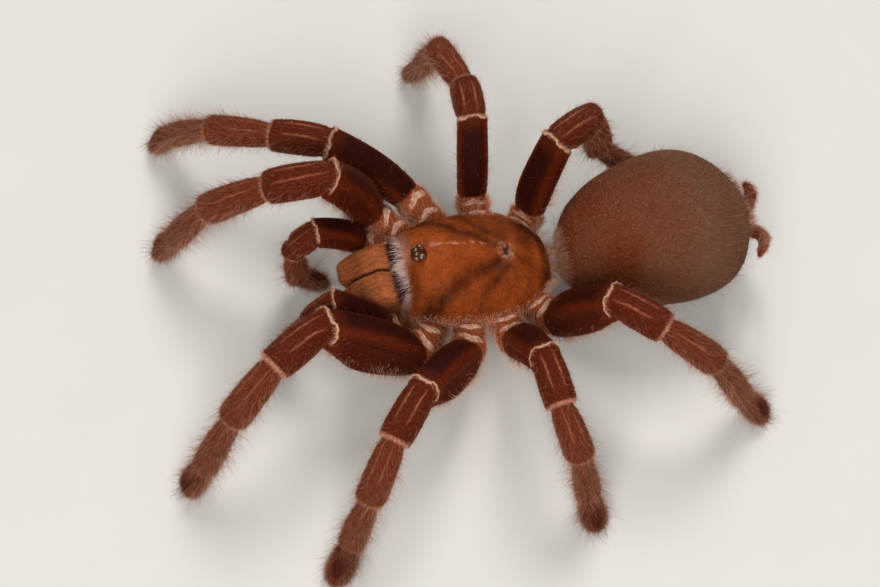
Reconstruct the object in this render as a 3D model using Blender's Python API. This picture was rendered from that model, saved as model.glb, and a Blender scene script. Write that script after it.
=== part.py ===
"""A life-size tarantula standing on its eight feet, as a still museum model.

The spider faces -Y, its left side is +X and the floor is Z = 0. Each limb is a chain of
segments that meet on mitred joints with a thin gap, and every foot is cut flat on the floor.
Sizes in the tables are in millimetres and angles in degrees; the objects are in metres.
"""

import math

import bmesh
import bpy
from mathutils import Matrix, Vector

MM = 0.001
GAP = 0.3                    # between the segments of a limb
CLEARANCE = 0.4              # cut away round a neighbour's surface
OVERRUN = 4.0                # of a segment past its joint, before the mitre trims it
LIMB_SIDES = 12              # facets round a limb
UP = Vector((0, 0, 1))

# Prosoma, the front half of the body. The margin of its shield falls towards the back.
CARAPACE_LENGTH = 34.6
CARAPACE_SHIFT = -0.8        # of its middle, forwards
CARAPACE_HALF_WIDTH = 14.2
CARAPACE_RIM = 1.2           # thickness of its edge
MARGIN_HEIGHT = 13.2         # of the shield's rim above the floor, halfway along
MARGIN_PITCH = 5.0           # nose up
STERNUM_HEIGHT = 9.6

# Abdomen: an egg hung from the pedicel, wider behind, a little turned to the right.
ABDOMEN_LENGTH = 44.0
ABDOMEN_HALF_WIDTH = 17.6
ABDOMEN_HALF_HEIGHT = 15.0
ABDOMEN_SWING = -2.0
ABDOMEN_FRONT = Vector((1.4, 17.4, 14.0))
ABDOMEN_RISE = 2.5           # of the egg's middle above its two ends

FOOT_TIP_HEIGHT = 0.3        # of a foot's centreline at its tip

# Segment lengths from the hip outwards.
LEG_SEGMENTS = ("femur", "patella", "tibia", "metatarsus", "tarsus")
PALP_SEGMENTS = ("femur", "patella", "tibia", "tarsus")
LENGTHS = {
    "leg1": (25.5, 14.5, 17.5, 15.5, 8.5),
    "leg2": (22.0, 13.0, 15.5, 14.5, 8.5),
    "leg3": (19.0, 11.5, 12.5, 15.5, 8.0),
    "leg4": (23.5, 11.5, 15.5, 18.0, 8.5),
    "palp": (16.4, 9.4, 12.2, 8.8),
}
GIRTH = {"leg1": 1.04, "leg2": 1.0, "leg3": 0.96, "leg4": 0.98, "palp": 0.78}

# Each limb's hip (x outwards, y, z), then the yaw and pitch of its segments. Yaw 0 points
# straight out to the side and -90 straight ahead. The last pitch is worked out, so that the
# foot reaches the floor.
POSES = {
    "leg1_left": ((17.4, -17.5, 13.5), (-99, -53, -68, -60, -77), (37, 18, -50, -54)),
    "leg2_left": ((19.5, -6.5, 13.5), (-49, -36, -43, -49, -37), (34, 12, -50, -60)),
    "leg3_left": ((18.5, 4.0, 12.5), (15, 0, 16, 26, 10), (49, 12, -43, -74)),
    "leg4_left": ((14.5, 13.5, 11.5), (56, 40, 60, 70, 58), (55, 6, -37, -64)),
    "leg1_right": ((17.4, -20.0, 13.5), (-99, -74, -77, -80, -71), (68, -24, -37, -59)),
    "leg2_right": ((20.5, -11.0, 13.5), (-54, -64, -62, -53, -59), (28, -9, -17, -44)),
    "leg3_right": ((18.0, 3.0, 12.5), (11, 4, -15, -28, -32), (54, -19, -12, -70)),
    "leg4_right": ((12.0, 14.5, 11.5), (56, 56, 78, 114, 125), (70, -21, -78, -41)),
    "palp_left": ((10.4, -22.6, 13.5), (-104, -94, -92, -60), (47, -56, -61)),
    "palp_right": ((12.0, -23.8, 13.5), (-105, -78, 129, 90), (50, -56, -87)),
}

# Where each coxa leaves the sternum (x outwards, y).
COXA_ROOTS = {
    "leg1": (6.5, -9.5), "leg2": (7.5, -3.5), "leg3": (7.5, 2.5), "leg4": (6.0, 8.5),
    "palp": (4.6, -12.5),
}

# Cross-sections along each segment: (share of its length, half width, half height) in mm
# at girth 1.
PROFILES = {
    "coxa": ((0.0, 2.8, 3.0), (0.4, 3.1, 3.5), (0.7, 2.9, 3.4), (1.0, 2.8, 3.3)),
    "femur": ((0.0, 2.8, 3.3), (0.22, 3.6, 4.3), (0.6, 3.8, 4.7), (1.0, 3.6, 3.9)),
    "patella": ((0.0, 3.6, 3.7), (0.35, 3.9, 4.0), (0.8, 3.8, 3.8), (1.0, 3.3, 3.3)),
    "tibia": ((0.0, 3.1, 3.2), (0.3, 3.4, 3.5), (0.8, 3.4, 3.4), (1.0, 3.0, 3.0)),
    "metatarsus": ((0.0, 2.8, 2.8), (0.4, 3.0, 2.9), (0.85, 3.1, 2.8), (1.0, 2.9, 2.6)),
    "tarsus": ((0.0, 3.0, 2.6), (0.4, 3.3, 2.6), (0.75, 3.0, 2.3), (0.93, 2.0, 1.7), (1.0, 0.9, 0.8)),
}
# The keel under a femur that is seen from its side: how far it leans over for its depth
# (towards the side at forward x up), and its added depth as a share of the femur's.
KEELS = {"leg1_left": (-0.80, 0.42), "leg2_left": (-0.60, 0.20), "leg4_left": (0.50, 0.20)}
# Millimetres that the middle of a segment bows towards its upper side.
BOWS = {"coxa": 0.0, "femur": 1.4, "patella": 0.5, "tibia": 0.3, "metatarsus": 0.3, "tarsus": 0.2}

# Principled BSDF: colour, roughness.
FINISHES = {
    "carapace": ((0.34, 0.11, 0.025), 0.55),
    "femur": ((0.13, 0.028, 0.010), 0.60),
    "leg": ((0.25, 0.075, 0.035), 0.75),
    "abdomen": ((0.17, 0.065, 0.035), 0.85),
    "underside": ((0.12, 0.040, 0.020), 0.80),
    "chelicera": ((0.30, 0.12, 0.045), 0.70),
    "fang": ((0.015, 0.008, 0.006), 0.20),
    "eye": ((0.010, 0.008, 0.008), 0.08),
}


def clear_scene():
    for obj in list(bpy.data.objects):
        bpy.data.objects.remove(obj)


def new_collection(name):
    collection = bpy.data.collections.new(name)
    bpy.context.scene.collection.children.link(collection)
    return collection


def finish(name):
    """The material of that name, made the first time that it is asked for."""
    material = bpy.data.materials.get(name)
    if material is None:
        color, roughness = FINISHES[name]
        material = bpy.data.materials.new(name)
        material.use_nodes = True
        shader = material.node_tree.nodes["Principled BSDF"]
        shader.inputs["Base Color"].default_value = (*color, 1)
        shader.inputs["Roughness"].default_value = roughness
        shader.inputs["Metallic"].default_value = 0
    return material


def add_object(name, bm, material, collection):
    """An object made from a bmesh that is in millimetres. It takes the bmesh over."""
    bmesh.ops.scale(bm, vec=(MM, MM, MM), verts=bm.verts)
    bmesh.ops.recalc_face_normals(bm, faces=bm.faces)
    mesh = bpy.data.meshes.new(name)
    bm.to_mesh(mesh)
    bm.free()
    mesh.materials.append(finish(material))
    mesh.shade_smooth()
    mesh.set_sharp_from_angle(angle=math.radians(40))
    obj = bpy.data.objects.new(name, mesh)
    collection.objects.link(obj)
    return obj


def add_modifier_boolean(obj, operation, other):
    modifier = obj.modifiers.new(f"{operation.lower()} {other.name}", "BOOLEAN")
    modifier.operation = operation
    modifier.solver = "EXACT"
    modifier.object = other


def keep_clear_of(obj, other, cutters):
    """Cuts obj back with a grown copy of another piece, which leaves a gap between them."""
    graph = bpy.context.evaluated_depsgraph_get()
    grown = bmesh.new()
    grown.from_object(other, graph)
    bmesh.ops.scale(grown, vec=(1 / MM, 1 / MM, 1 / MM), verts=grown.verts)
    bmesh.ops.recalc_face_normals(grown, faces=grown.faces)
    grown.normal_update()
    moves = [vert.normal * CLEARANCE for vert in grown.verts]
    for vert, move in zip(grown.verts, moves):
        vert.co += move
    cutter = add_object(f"room_for_{other.name}_in_{obj.name}", grown, "eye", cutters)
    cutter.hide_render = True
    cutter.display_type = "WIRE"
    add_modifier_boolean(obj, "DIFFERENCE", cutter)


def cut_flat(bm, point, normal):
    """Removes what lies on the normal's side of a plane and closes the cut."""
    cut = bmesh.ops.bisect_plane(
        bm, geom=[*bm.verts, *bm.edges, *bm.faces], dist=1e-5,
        plane_co=point, plane_no=normal, clear_outer=True,
    )
    rim = [item for item in cut["geom_cut"] if isinstance(item, bmesh.types.BMEdge)]
    if rim:
        bmesh.ops.contextual_create(bm, geom=rim)


def between(points, share):
    """Reads a table of (share, value, ...) rows at a share of the way, smoothly."""
    rows = list(points)
    for low, high in zip(rows, rows[1:]):
        if share <= high[0]:
            t = max(0.0, (share - low[0]) / (high[0] - low[0]))
            t = t * t * (3 - 2 * t)
            return [a + (b - a) * t for a, b in zip(low[1:], high[1:])]
    return list(rows[-1][1:])


def limb_segment(kind, start, end, girth, first_cut, last_cut, keel=(0.0, 0.0)):
    """A bmesh of one segment in millimetres: an oval tube with mitred ends.

    first_cut and last_cut are (plane point, outward normal), or None for an end left square.
    keel is the lean and the added depth of the lower half in the segment's middle.
    """
    lean, added_depth = keel
    axis = end - start
    length = axis.length
    forward = axis.normalized()
    top = (UP - forward * UP.dot(forward)).normalized()
    side = forward.cross(top)
    bm = bmesh.new()
    bmesh.ops.create_cone(
        bm, cap_ends=True, segments=LIMB_SIDES, radius1=1, radius2=1, depth=1,
        matrix=Matrix.Translation((0, 0, 0.5)),
    )
    profile = PROFILES[kind]
    for share, *_ in profile[1:-1]:
        bmesh.ops.bisect_plane(
            bm, geom=[*bm.verts, *bm.edges, *bm.faces], dist=1e-6,
            plane_co=(0, 0, share), plane_no=(0, 0, 1),
        )
    for vert in bm.verts:
        share = vert.co.z
        width, height = between(profile, share)
        middle = math.sin(math.pi * share)  # 0 at both ends and 1 halfway
        bow = BOWS[kind] * middle * girth
        along = share * length
        if share < 1e-4 and first_cut:
            along -= OVERRUN
        if share > 1 - 1e-4 and last_cut:
            along += OVERRUN
        across, rise = vert.co.x * width * girth, vert.co.y * height * girth
        if rise < 0:
            rise *= 1 + added_depth * middle
            across -= lean * middle * rise
        vert.co = start + forward * along + side * across + top * (rise + bow)
    for cut in (first_cut, last_cut):
        if cut:
            cut_flat(bm, *cut)
    return bm


def direction(side, yaw, pitch):
    yaw, pitch = math.radians(yaw), math.radians(pitch)
    return Vector((
        side * math.cos(pitch) * math.cos(yaw),
        math.cos(pitch) * math.sin(yaw),
        math.sin(pitch),
    ))


def joints_of(limb):
    """The joint centres of a limb in millimetres: coxa root, hip and so on to the tip."""
    kind, side_name = limb.split("_")
    side = 1 if side_name == "left" else -1
    hip, yaws, pitches = POSES[limb]
    root_x, root_y = COXA_ROOTS[kind]
    joints = [Vector((side * root_x, root_y, STERNUM_HEIGHT))]
    joints.append(Vector((side * hip[0], hip[1], hip[2])))
    for length, yaw, pitch in zip(LENGTHS[kind], yaws, pitches):
        joints.append(joints[-1] + direction(side, yaw, pitch) * length)
    length = LENGTHS[kind][-1]
    drop = math.degrees(math.asin((FOOT_TIP_HEIGHT - joints[-1].z) / length))
    joints.append(joints[-1] + direction(side, yaws[-1], drop) * length)
    return joints


def mitre(joints, index, towards):
    """The cut at a joint for the segment on one side: (plane point, outward normal)."""
    before = (joints[index] - joints[index - 1]).normalized()
    after = (joints[index + 1] - joints[index]).normalized()
    normal = (before + after).normalized() * towards
    return joints[index] - normal * (GAP / 2), normal


def build_limb(limb, collection):
    """The segments of one leg or palp, from the femur to the foot."""
    kind = limb.split("_")[0]
    names = PALP_SEGMENTS if kind == "palp" else LEG_SEGMENTS
    joints = joints_of(limb)
    for index, segment in enumerate(names, start=1):
        last = index == len(names)
        bm = limb_segment(
            segment, joints[index], joints[index + 1], GIRTH[kind],
            mitre(joints, index, -1), None if last else mitre(joints, index + 1, 1),
            KEELS.get(limb, (0.0, 0.0)) if segment == "femur" else (0.0, 0.0),
        )
        if last:
            cut_flat(bm, Vector((0, 0, 0)), Vector((0, 0, -1)))
        finish_name = "femur" if segment == "femur" else "leg"
        add_object(f"{limb}_{segment}", bm, finish_name, collection)


def shield_outline(share):
    """Half width of the carapace at a share of its length from the front."""
    rows = (
        (0.0, 0.70), (0.12, 0.80), (0.30, 0.94), (0.52, 1.0), (0.72, 0.93), (0.86, 0.74),
        (0.95, 0.46), (1.0, 0.22),
    )
    return between(rows, share)[0] * CARAPACE_HALF_WIDTH


def shield_height(share):
    """Height of the carapace's midline above its margin: high head, pit, low back."""
    rows = (
        (0.0, 6.4), (0.10, 10.3), (0.26, 11.0), (0.45, 9.6), (0.62, 7.4), (0.66, 7.2),
        (0.75, 7.2), (0.90, 4.4), (1.0, 1.2),
    )
    return between(rows, share)[0]


def margin_matrix():
    """Tilts a shape that is built level about the prosoma's middle."""
    return Matrix.Translation((0, 0, MARGIN_HEIGHT)) @ Matrix.Rotation(
        math.radians(-MARGIN_PITCH), 4, "X"
    )


def build_carapace(collection):
    bm = bmesh.new()
    bmesh.ops.create_uvsphere(bm, u_segments=24, v_segments=18, radius=1)
    for vert in bm.verts:
        x, y, z = vert.co
        share = 0.5 + 0.5 * y
        # across a slice the sphere is a circle of this radius, and across is -1 to 1
        slice_radius = math.sqrt(max(1e-6, 1 - y * y))
        across = x / slice_radius
        head = max(0.0, 1 - share / 0.55)  # 1 in front, where the dome is boxier
        dome = (1 - abs(across) ** (2.0 + 1.6 * head)) ** (0.5 + 0.35 * (1 - head))
        half = shield_outline(share) * min(1.0, 0.35 + 1.9 * slice_radius)
        top = shield_height(share) * dome
        vert.co.x = across * half
        vert.co.y = (share - 0.5) * CARAPACE_LENGTH + CARAPACE_SHIFT
        vert.co.z = top if z > -1e-4 else -CARAPACE_RIM * min(1.0, -z * 3)
    bmesh.ops.remove_doubles(bm, verts=bm.verts, dist=0.02)
    bmesh.ops.transform(bm, matrix=margin_matrix(), verts=bm.verts)
    return add_object("carapace", bm, "carapace", collection)


def build_eyes(collection, cutters, carapace):
    """The ocular tubercle, a low mound with eight eyes in two rows."""
    share = 0.115
    place = margin_matrix() @ Vector((
        0, (share - 0.5) * CARAPACE_LENGTH + CARAPACE_SHIFT, shield_height(share) + 0.1,
    ))
    eyes = [(side * 0.72, -0.55, 0.60, 0.66) for side in (-1, 1)]
    eyes += [(side * 1.62, -1.0, -0.05, 0.58) for side in (-1, 1)]
    eyes += [(side * 1.15, 0.85, 0.32, 0.42) for side in (-1, 1)]
    eyes += [(side * 1.78, 0.45, 0.05, 0.52) for side in (-1, 1)]
    bm = bmesh.new()
    bmesh.ops.create_uvsphere(bm, u_segments=14, v_segments=8, radius=1)
    bmesh.ops.scale(bm, vec=(2.3, 1.9, 1.7), verts=bm.verts)
    bmesh.ops.translate(bm, vec=place, verts=bm.verts)
    mound = add_object("eye_tubercle", bm, "eye", collection)
    for number, (x, y, z, radius) in enumerate(eyes):
        bm = bmesh.new()
        bmesh.ops.create_uvsphere(bm, u_segments=6, v_segments=5, radius=radius)
        bmesh.ops.translate(bm, vec=place + Vector((x, y, z + 0.75)), verts=bm.verts)
        eye = add_object(f"eye_{number}", bm, "eye", cutters)
        eye.hide_render = True
        add_modifier_boolean(mound, "UNION", eye)
    keep_clear_of(mound, carapace, cutters)
    return mound


def build_abdomen(collection):
    """An egg with its narrow end at the pedicel."""
    bm = bmesh.new()
    bmesh.ops.create_uvsphere(bm, u_segments=24, v_segments=16, radius=1)
    bmesh.ops.rotate(bm, matrix=Matrix.Rotation(math.radians(90), 3, "X"), verts=bm.verts)
    for vert in bm.verts:
        x, y, z = vert.co
        fuller = 1 + 0.04 * y * y
        vert.co.x = x * (fuller + 0.17 * y) * ABDOMEN_HALF_WIDTH
        vert.co.z = z * (fuller + 0.09 * y) * ABDOMEN_HALF_HEIGHT + ABDOMEN_RISE * (1 - y * y)
        vert.co.y = (y + 1) * ABDOMEN_LENGTH / 2
    swing = Matrix.Rotation(math.radians(-ABDOMEN_SWING), 4, "Z")
    bmesh.ops.transform(bm, matrix=Matrix.Translation(ABDOMEN_FRONT) @ swing, verts=bm.verts)
    return add_object("abdomen", bm, "abdomen", collection)


def on_abdomen(x, y, z):
    """A point given in the abdomen's own frame, y back from the pedicel."""
    turned = Matrix.Rotation(math.radians(-ABDOMEN_SWING), 3, "Z") @ Vector((x, y, z))
    return ABDOMEN_FRONT + turned


def tapered_curve(name, points, radii, material, collection):
    """A round horn along a smooth line, with the radius given at each point, in mm."""
    data = bpy.data.curves.new(name, "CURVE")
    data.dimensions = "3D"
    data.bevel_depth = MM
    data.bevel_resolution = 1
    data.use_fill_caps = True
    data.resolution_u = 2
    spline = data.splines.new("BEZIER")
    spline.bezier_points.add(len(points) - 1)
    for bezier, point, radius in zip(spline.bezier_points, points, radii):
        bezier.co = point * MM
        bezier.radius = radius
        bezier.handle_left_type = bezier.handle_right_type = "AUTO"
    data.materials.append(finish(material))
    obj = bpy.data.objects.new(name, data)
    collection.objects.link(obj)
    return obj


def curve_to_mesh(obj, collection):
    """The curve as a welded mesh object, so that it can be cut."""
    bpy.context.view_layer.update()
    graph = bpy.context.evaluated_depsgraph_get()
    mesh = bpy.data.meshes.new_from_object(obj.evaluated_get(graph))
    bm = bmesh.new()
    bm.from_mesh(mesh)
    bmesh.ops.remove_doubles(bm, verts=bm.verts, dist=1e-6)
    bmesh.ops.recalc_face_normals(bm, faces=bm.faces)
    bm.to_mesh(mesh)
    bm.free()
    name = obj.name
    made = bpy.data.objects.new(name + "_mesh", mesh)
    made.matrix_world = obj.matrix_world
    bpy.data.objects.remove(obj)
    made.name = name
    collection.objects.link(made)
    return made


def build_spinnerets(collection, cutters, abdomen):
    """The two long hind spinnerets, three joints each, laid along the abdomen's end."""
    # x, y past the abdomen's end, z
    places = {
        "left": ((1.6, -4.0, -3.5), (3.6, 0.8, -2.2), (7.0, 1.8, -0.6), (11.2, -0.9, 0.8)),
        "right": ((-1.4, -4.0, -3.5), (-2.6, 1.0, -1.8), (-4.6, 2.2, 0.6), (-6.0, 1.0, 3.0)),
    }
    for name, rows in places.items():
        points = [on_abdomen(x, ABDOMEN_LENGTH + y, z) for x, y, z in rows]
        horn = tapered_curve(
            f"spinneret_{name}", points, (1.7, 1.6, 1.3, 0.7), "leg", collection
        )
        horn = curve_to_mesh(horn, collection)
        keep_clear_of(horn, abdomen, cutters)


def build_chelicera(side, name, collection):
    """The basal joint of a jaw: a deep oval block, flat where it meets its neighbour."""
    bm = bmesh.new()
    bmesh.ops.create_uvsphere(bm, u_segments=16, v_segments=12, radius=1)
    bmesh.ops.rotate(bm, matrix=Matrix.Rotation(math.radians(90), 3, "X"), verts=bm.verts)
    for vert in bm.verts:
        x, y, z = vert.co
        ends = (1 - abs(y) ** 5) if abs(y) < 1 else 0
        fuller = (1 - y * y) ** -0.22 if abs(y) < 0.98 else 1
        vert.co.x = x * 3.7 * fuller * (0.9 + 0.1 * ends)
        vert.co.z = z * (5.5 + 0.5 * y) * fuller
        vert.co.y = y * 8.0
    lean = Matrix.Rotation(math.radians(20), 4, "X")
    place = Matrix.Translation((side * 3.45, -22.6, 16.6))
    bmesh.ops.transform(bm, matrix=place @ lean, verts=bm.verts)
    cut_flat(bm, Vector((side * GAP / 2, 0, 0)), Vector((-side, 0, 0)))
    return add_object(f"chelicera_{name}", bm, "chelicera", collection)


def build_fang(side, name, collection, cutters, chelicera):
    """A curved fang folded back under the jaw."""
    points = [
        Vector((side * 3.5, -29.2, 12.0)),
        Vector((side * 3.6, -29.9, 8.6)),
        Vector((side * 3.3, -27.6, 6.3)),
        Vector((side * 2.9, -24.0, 6.0)),
        Vector((side * 2.6, -21.4, 6.9)),
    ]
    fang = tapered_curve(f"fang_{name}", points, (1.5, 1.35, 1.0, 0.6, 0.28), "fang", collection)
    fang = curve_to_mesh(fang, collection)
    keep_clear_of(fang, chelicera, cutters)


def build_underside(collection, cutters):
    """The sternum with the coxae and trochanters that grow from it, as one solid."""
    bm = bmesh.new()
    bmesh.ops.create_uvsphere(bm, u_segments=18, v_segments=8, radius=1)
    bmesh.ops.scale(bm, vec=(9.0, 14.5, 3.4), verts=bm.verts)
    bmesh.ops.translate(bm, vec=(0, -0.8, STERNUM_HEIGHT + 0.4), verts=bm.verts)
    underside = add_object("sternum_coxae", bm, "underside", collection)
    for limb in POSES:
        kind = limb.split("_")[0]
        joints = joints_of(limb)
        tube = limb_segment("coxa", joints[0], joints[1], GIRTH[kind], None, mitre(joints, 1, 1))
        coxa = add_object(f"coxa_{limb}", tube, "underside", cutters)
        coxa.hide_render = True
        add_modifier_boolean(underside, "UNION", coxa)
    return underside


def build_pedicel(collection, cutters, neighbours):
    """The narrow waist between the two halves of the body."""
    start = Vector((0, 12.0, 9.0))
    end = ABDOMEN_FRONT + Vector((-0.4, 5.0, -3.6))
    waist = tapered_curve(
        "pedicel", [start, start.lerp(end, 0.5), end], (2.6, 2.3, 2.8), "underside", collection
    )
    waist = curve_to_mesh(waist, collection)
    for other in neighbours:
        keep_clear_of(waist, other, cutters)


def centre_on_origin(spider, cutters):
    """Hangs the model on an empty that brings the middle of its box over the origin."""
    graph = bpy.context.evaluated_depsgraph_get()
    corners = []
    for obj in spider.objects:
        mesh = obj.evaluated_get(graph).to_mesh()
        corners += [obj.matrix_world @ vert.co for vert in mesh.vertices]
    low = Vector(map(min, *corners))
    high = Vector(map(max, *corners))
    empty = bpy.data.objects.new("tarantula_origin", None)
    bpy.context.scene.collection.objects.link(empty)
    for obj in (*spider.objects, *cutters.objects):
        obj.parent = empty
    empty.location = (-(low.x + high.x) / 2, -(low.y + high.y) / 2, 0)


def main():
    clear_scene()
    spider = new_collection("tarantula")
    cutters = new_collection("cutters")

    carapace = build_carapace(spider)
    build_eyes(spider, cutters, carapace)
    underside = build_underside(spider, cutters)
    keep_clear_of(underside, carapace, cutters)
    abdomen = build_abdomen(spider)
    build_spinnerets(spider, cutters, abdomen)
    build_pedicel(spider, cutters, (carapace, underside, abdomen))
    for side, name in ((1, "left"), (-1, "right")):
        chelicera = build_chelicera(side, name, spider)
        for neighbour in (carapace, underside):
            keep_clear_of(chelicera, neighbour, cutters)
        build_fang(side, name, spider, cutters, chelicera)
    for limb in POSES:
        build_limb(limb, spider)
    bpy.context.view_layer.update()
    centre_on_origin(spider, cutters)


main()
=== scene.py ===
# A tarantula as a still, life-size model: one skin, horny plates, eyes and a coat of solid hairs.
from math import cos, pi, radians, sin, sqrt

import bpy
import numpy as np
from mathutils import Matrix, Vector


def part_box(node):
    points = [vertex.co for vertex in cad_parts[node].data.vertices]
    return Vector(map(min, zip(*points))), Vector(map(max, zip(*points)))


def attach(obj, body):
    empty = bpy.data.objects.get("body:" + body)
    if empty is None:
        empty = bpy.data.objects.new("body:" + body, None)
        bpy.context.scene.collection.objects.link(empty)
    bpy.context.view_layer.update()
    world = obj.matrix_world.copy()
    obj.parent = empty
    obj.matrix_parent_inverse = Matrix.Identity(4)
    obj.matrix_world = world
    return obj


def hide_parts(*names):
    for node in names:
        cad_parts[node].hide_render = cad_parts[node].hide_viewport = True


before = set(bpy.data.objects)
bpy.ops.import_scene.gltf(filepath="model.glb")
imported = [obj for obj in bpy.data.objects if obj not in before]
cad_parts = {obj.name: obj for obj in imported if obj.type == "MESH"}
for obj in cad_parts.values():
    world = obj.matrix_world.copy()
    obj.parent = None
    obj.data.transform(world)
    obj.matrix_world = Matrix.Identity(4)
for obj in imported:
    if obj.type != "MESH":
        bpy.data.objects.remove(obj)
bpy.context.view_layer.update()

mm = 0.001
up = np.array((0.0, 0.0, 1.0))
sideSigns = {"left": 1, "right": -1}
segments = dict.fromkeys(
    ("leg1", "leg2", "leg3", "leg4"), ("femur", "patella", "tibia", "metatarsus", "tarsus")
)
segments["palp"] = ("femur", "patella", "tibia", "tarsus")
hairShare = 1.0     # a thin coat while trying things


# sums on rows of numbers
def unit(vectors):
    return vectors / np.maximum(np.linalg.norm(vectors, axis=-1, keepdims=True), 1e-12)


def ease(values, low, high):
    share = np.clip((np.asarray(values, float) - low) / (high - low), 0, 1)
    return share * share * (3 - 2 * share)


def band(values, low, high, soft):
    return ease(values, low - soft, low + soft) * (1 - ease(values, high - soft, high + soft))


def hump(values, width):
    return np.exp(-(values / width) ** 2)


def columns(*values):
    return np.stack(np.broadcast_arrays(*values), axis=1)


def turned(first, second, degrees):
    angle = radians(degrees)
    return first * cos(angle) - second * sin(angle), first * sin(angle) + second * cos(angle)


def halfTurns(angle):
    return np.mod(angle + pi, 2 * pi) - pi


def squared(angle, power):
    # how far out a squarish outline lies at an angle
    return (np.abs(np.sin(angle)) ** power + np.abs(np.cos(angle)) ** power) ** (-1 / power)


def between(table, places):
    # a smooth curve through a table of places and sizes
    at, sizes = np.array(table, float).T
    row = np.clip(np.searchsorted(at, places, side="right") - 1, 0, len(at) - 2)
    share = ease((places - at[row]) / (at[row + 1] - at[row]), 0, 1)
    return sizes[row] + (sizes[row + 1] - sizes[row]) * share


def strokeDistance(points, line):
    # from each point to a line of a few straight strokes
    nearest = np.full(len(points), np.inf)
    for start, end in zip(np.array(line[:-1], float), np.array(line[1:], float)):
        stroke = end - start
        share = np.clip((points - start) @ stroke / (stroke @ stroke), 0, 1)[:, None]
        nearest = np.minimum(nearest, np.linalg.norm(points - start - share * stroke, axis=1))
    return nearest


def waves(points, size, seed):
    # slow soft unevenness between -1 and 1, the same each run
    rng = np.random.default_rng(seed)
    total = np.zeros(len(points))
    for _ in range(6):
        heading = unit(rng.normal(size=3)) / size
        total += np.sin(points @ heading * 2 * pi + rng.random() * 6.3)
    return total / 3


def clumps(across, along, seed):
    # soft random patches between 0 and 1, each about one unit wide and long
    table = np.random.default_rng(seed).random((64, 64))
    column, row = np.floor(across).astype(int), np.floor(along).astype(int)
    x, y = ease(across - column, 0, 1), ease(along - row, 0, 1)
    left, right = column % 64, (column + 1) % 64
    upper, lower = (
        table[line % 64, left] * (1 - x) + table[line % 64, right] * x for line in (row, row + 1)
    )
    return upper * (1 - y) + lower * y


def clump(roots, across, along, seed, own=0.7, shared=1.0):
    # neighbouring hairs share some of their tone, so that the coat looks combed into tufts
    patch = 0.6 * clumps(across, along, seed) + 0.4 * clumps(across * 2.3, along * 2.1, seed + 1)
    roots["tone"] = np.clip(0.5 + (roots["tone"] - 0.5) * own + (patch - 0.5) * shared * 1.6, 0, 1)


# modelling
def selectOnly(*pieces):
    bpy.ops.object.select_all(action="DESELECT")
    for piece in pieces:
        piece.select_set(True)
        bpy.context.view_layer.objects.active = pieces[0]


def namePiece(name):
    piece = bpy.context.object
    piece.name = piece.data.name = name
    bpy.ops.object.transform_apply(location=True, rotation=True, scale=True)
    return piece


def places(piece):
    flat = np.empty(len(piece.data.vertices) * 3)
    piece.data.vertices.foreach_get("co", flat)
    return flat.reshape(-1, 3)


def shape(piece, points):
    piece.data.vertices.foreach_set("co", np.ascontiguousarray(points, np.float32).ravel())
    piece.data.polygons.foreach_set("use_smooth", np.ones(len(piece.data.polygons), bool))
    piece.data.update()


def mark(piece, **values):
    for name, numbers in values.items():
        attribute = piece.data.attributes.new(name, "FLOAT", "POINT")
        attribute.data.foreach_set("value", np.full(len(attribute.data), numbers, np.float32))


def settle(piece, slot, *nodes):
    # one still body carries every piece; nodes are what the piece stands for
    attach(piece, "root")
    if nodes:
        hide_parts(*nodes)


def modelTube(name, stations, around):
    # a closed straight tube along X: (place, half width, half height) ring by ring
    selectOnly()
    place, width, height = stations[0]
    bpy.ops.mesh.primitive_circle_add(
        vertices=around, radius=1, fill_type="NGON", location=(place, 0, 0), rotation=(0, pi / 2, 0)
    )
    tube = namePiece(name)
    bpy.ops.object.mode_set(mode="EDIT")
    bpy.ops.mesh.select_all(action="SELECT")
    bpy.ops.transform.resize(value=(1, width, height), center_override=(place, 0, 0))
    for nextPlace, nextWidth, nextHeight in stations[1:]:
        bpy.ops.mesh.extrude_region_move(
            TRANSFORM_OT_translate={"value": (nextPlace - place, 0, 0), "orient_type": "GLOBAL"}
        )
        bpy.ops.transform.resize(
            value=(1, nextWidth / width, nextHeight / height), center_override=(nextPlace, 0, 0)
        )
        place, width, height = nextPlace, nextWidth, nextHeight
    bpy.ops.mesh.select_all(action="SELECT")
    bpy.ops.mesh.normals_make_consistent(inside=False)
    bpy.ops.object.mode_set(mode="OBJECT")
    selectOnly(tube)
    modifier = tube.modifiers.new("Subdivision", "SUBSURF")
    modifier.levels = modifier.render_levels = 1
    bpy.ops.object.modifier_apply(modifier=modifier.name)
    return tube


def modelBall(name, around, rings, polesForward=False):
    selectOnly()
    bpy.ops.mesh.primitive_uv_sphere_add(
        segments=around, ring_count=rings, radius=1, rotation=(pi / 2 if polesForward else 0, 0, 0),
    )
    return namePiece(name)


def joinPieces(name, pieces):
    selectOnly(*pieces)
    bpy.ops.object.join()
    joined = bpy.context.object
    joined.name = joined.data.name = name
    return joined


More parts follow.
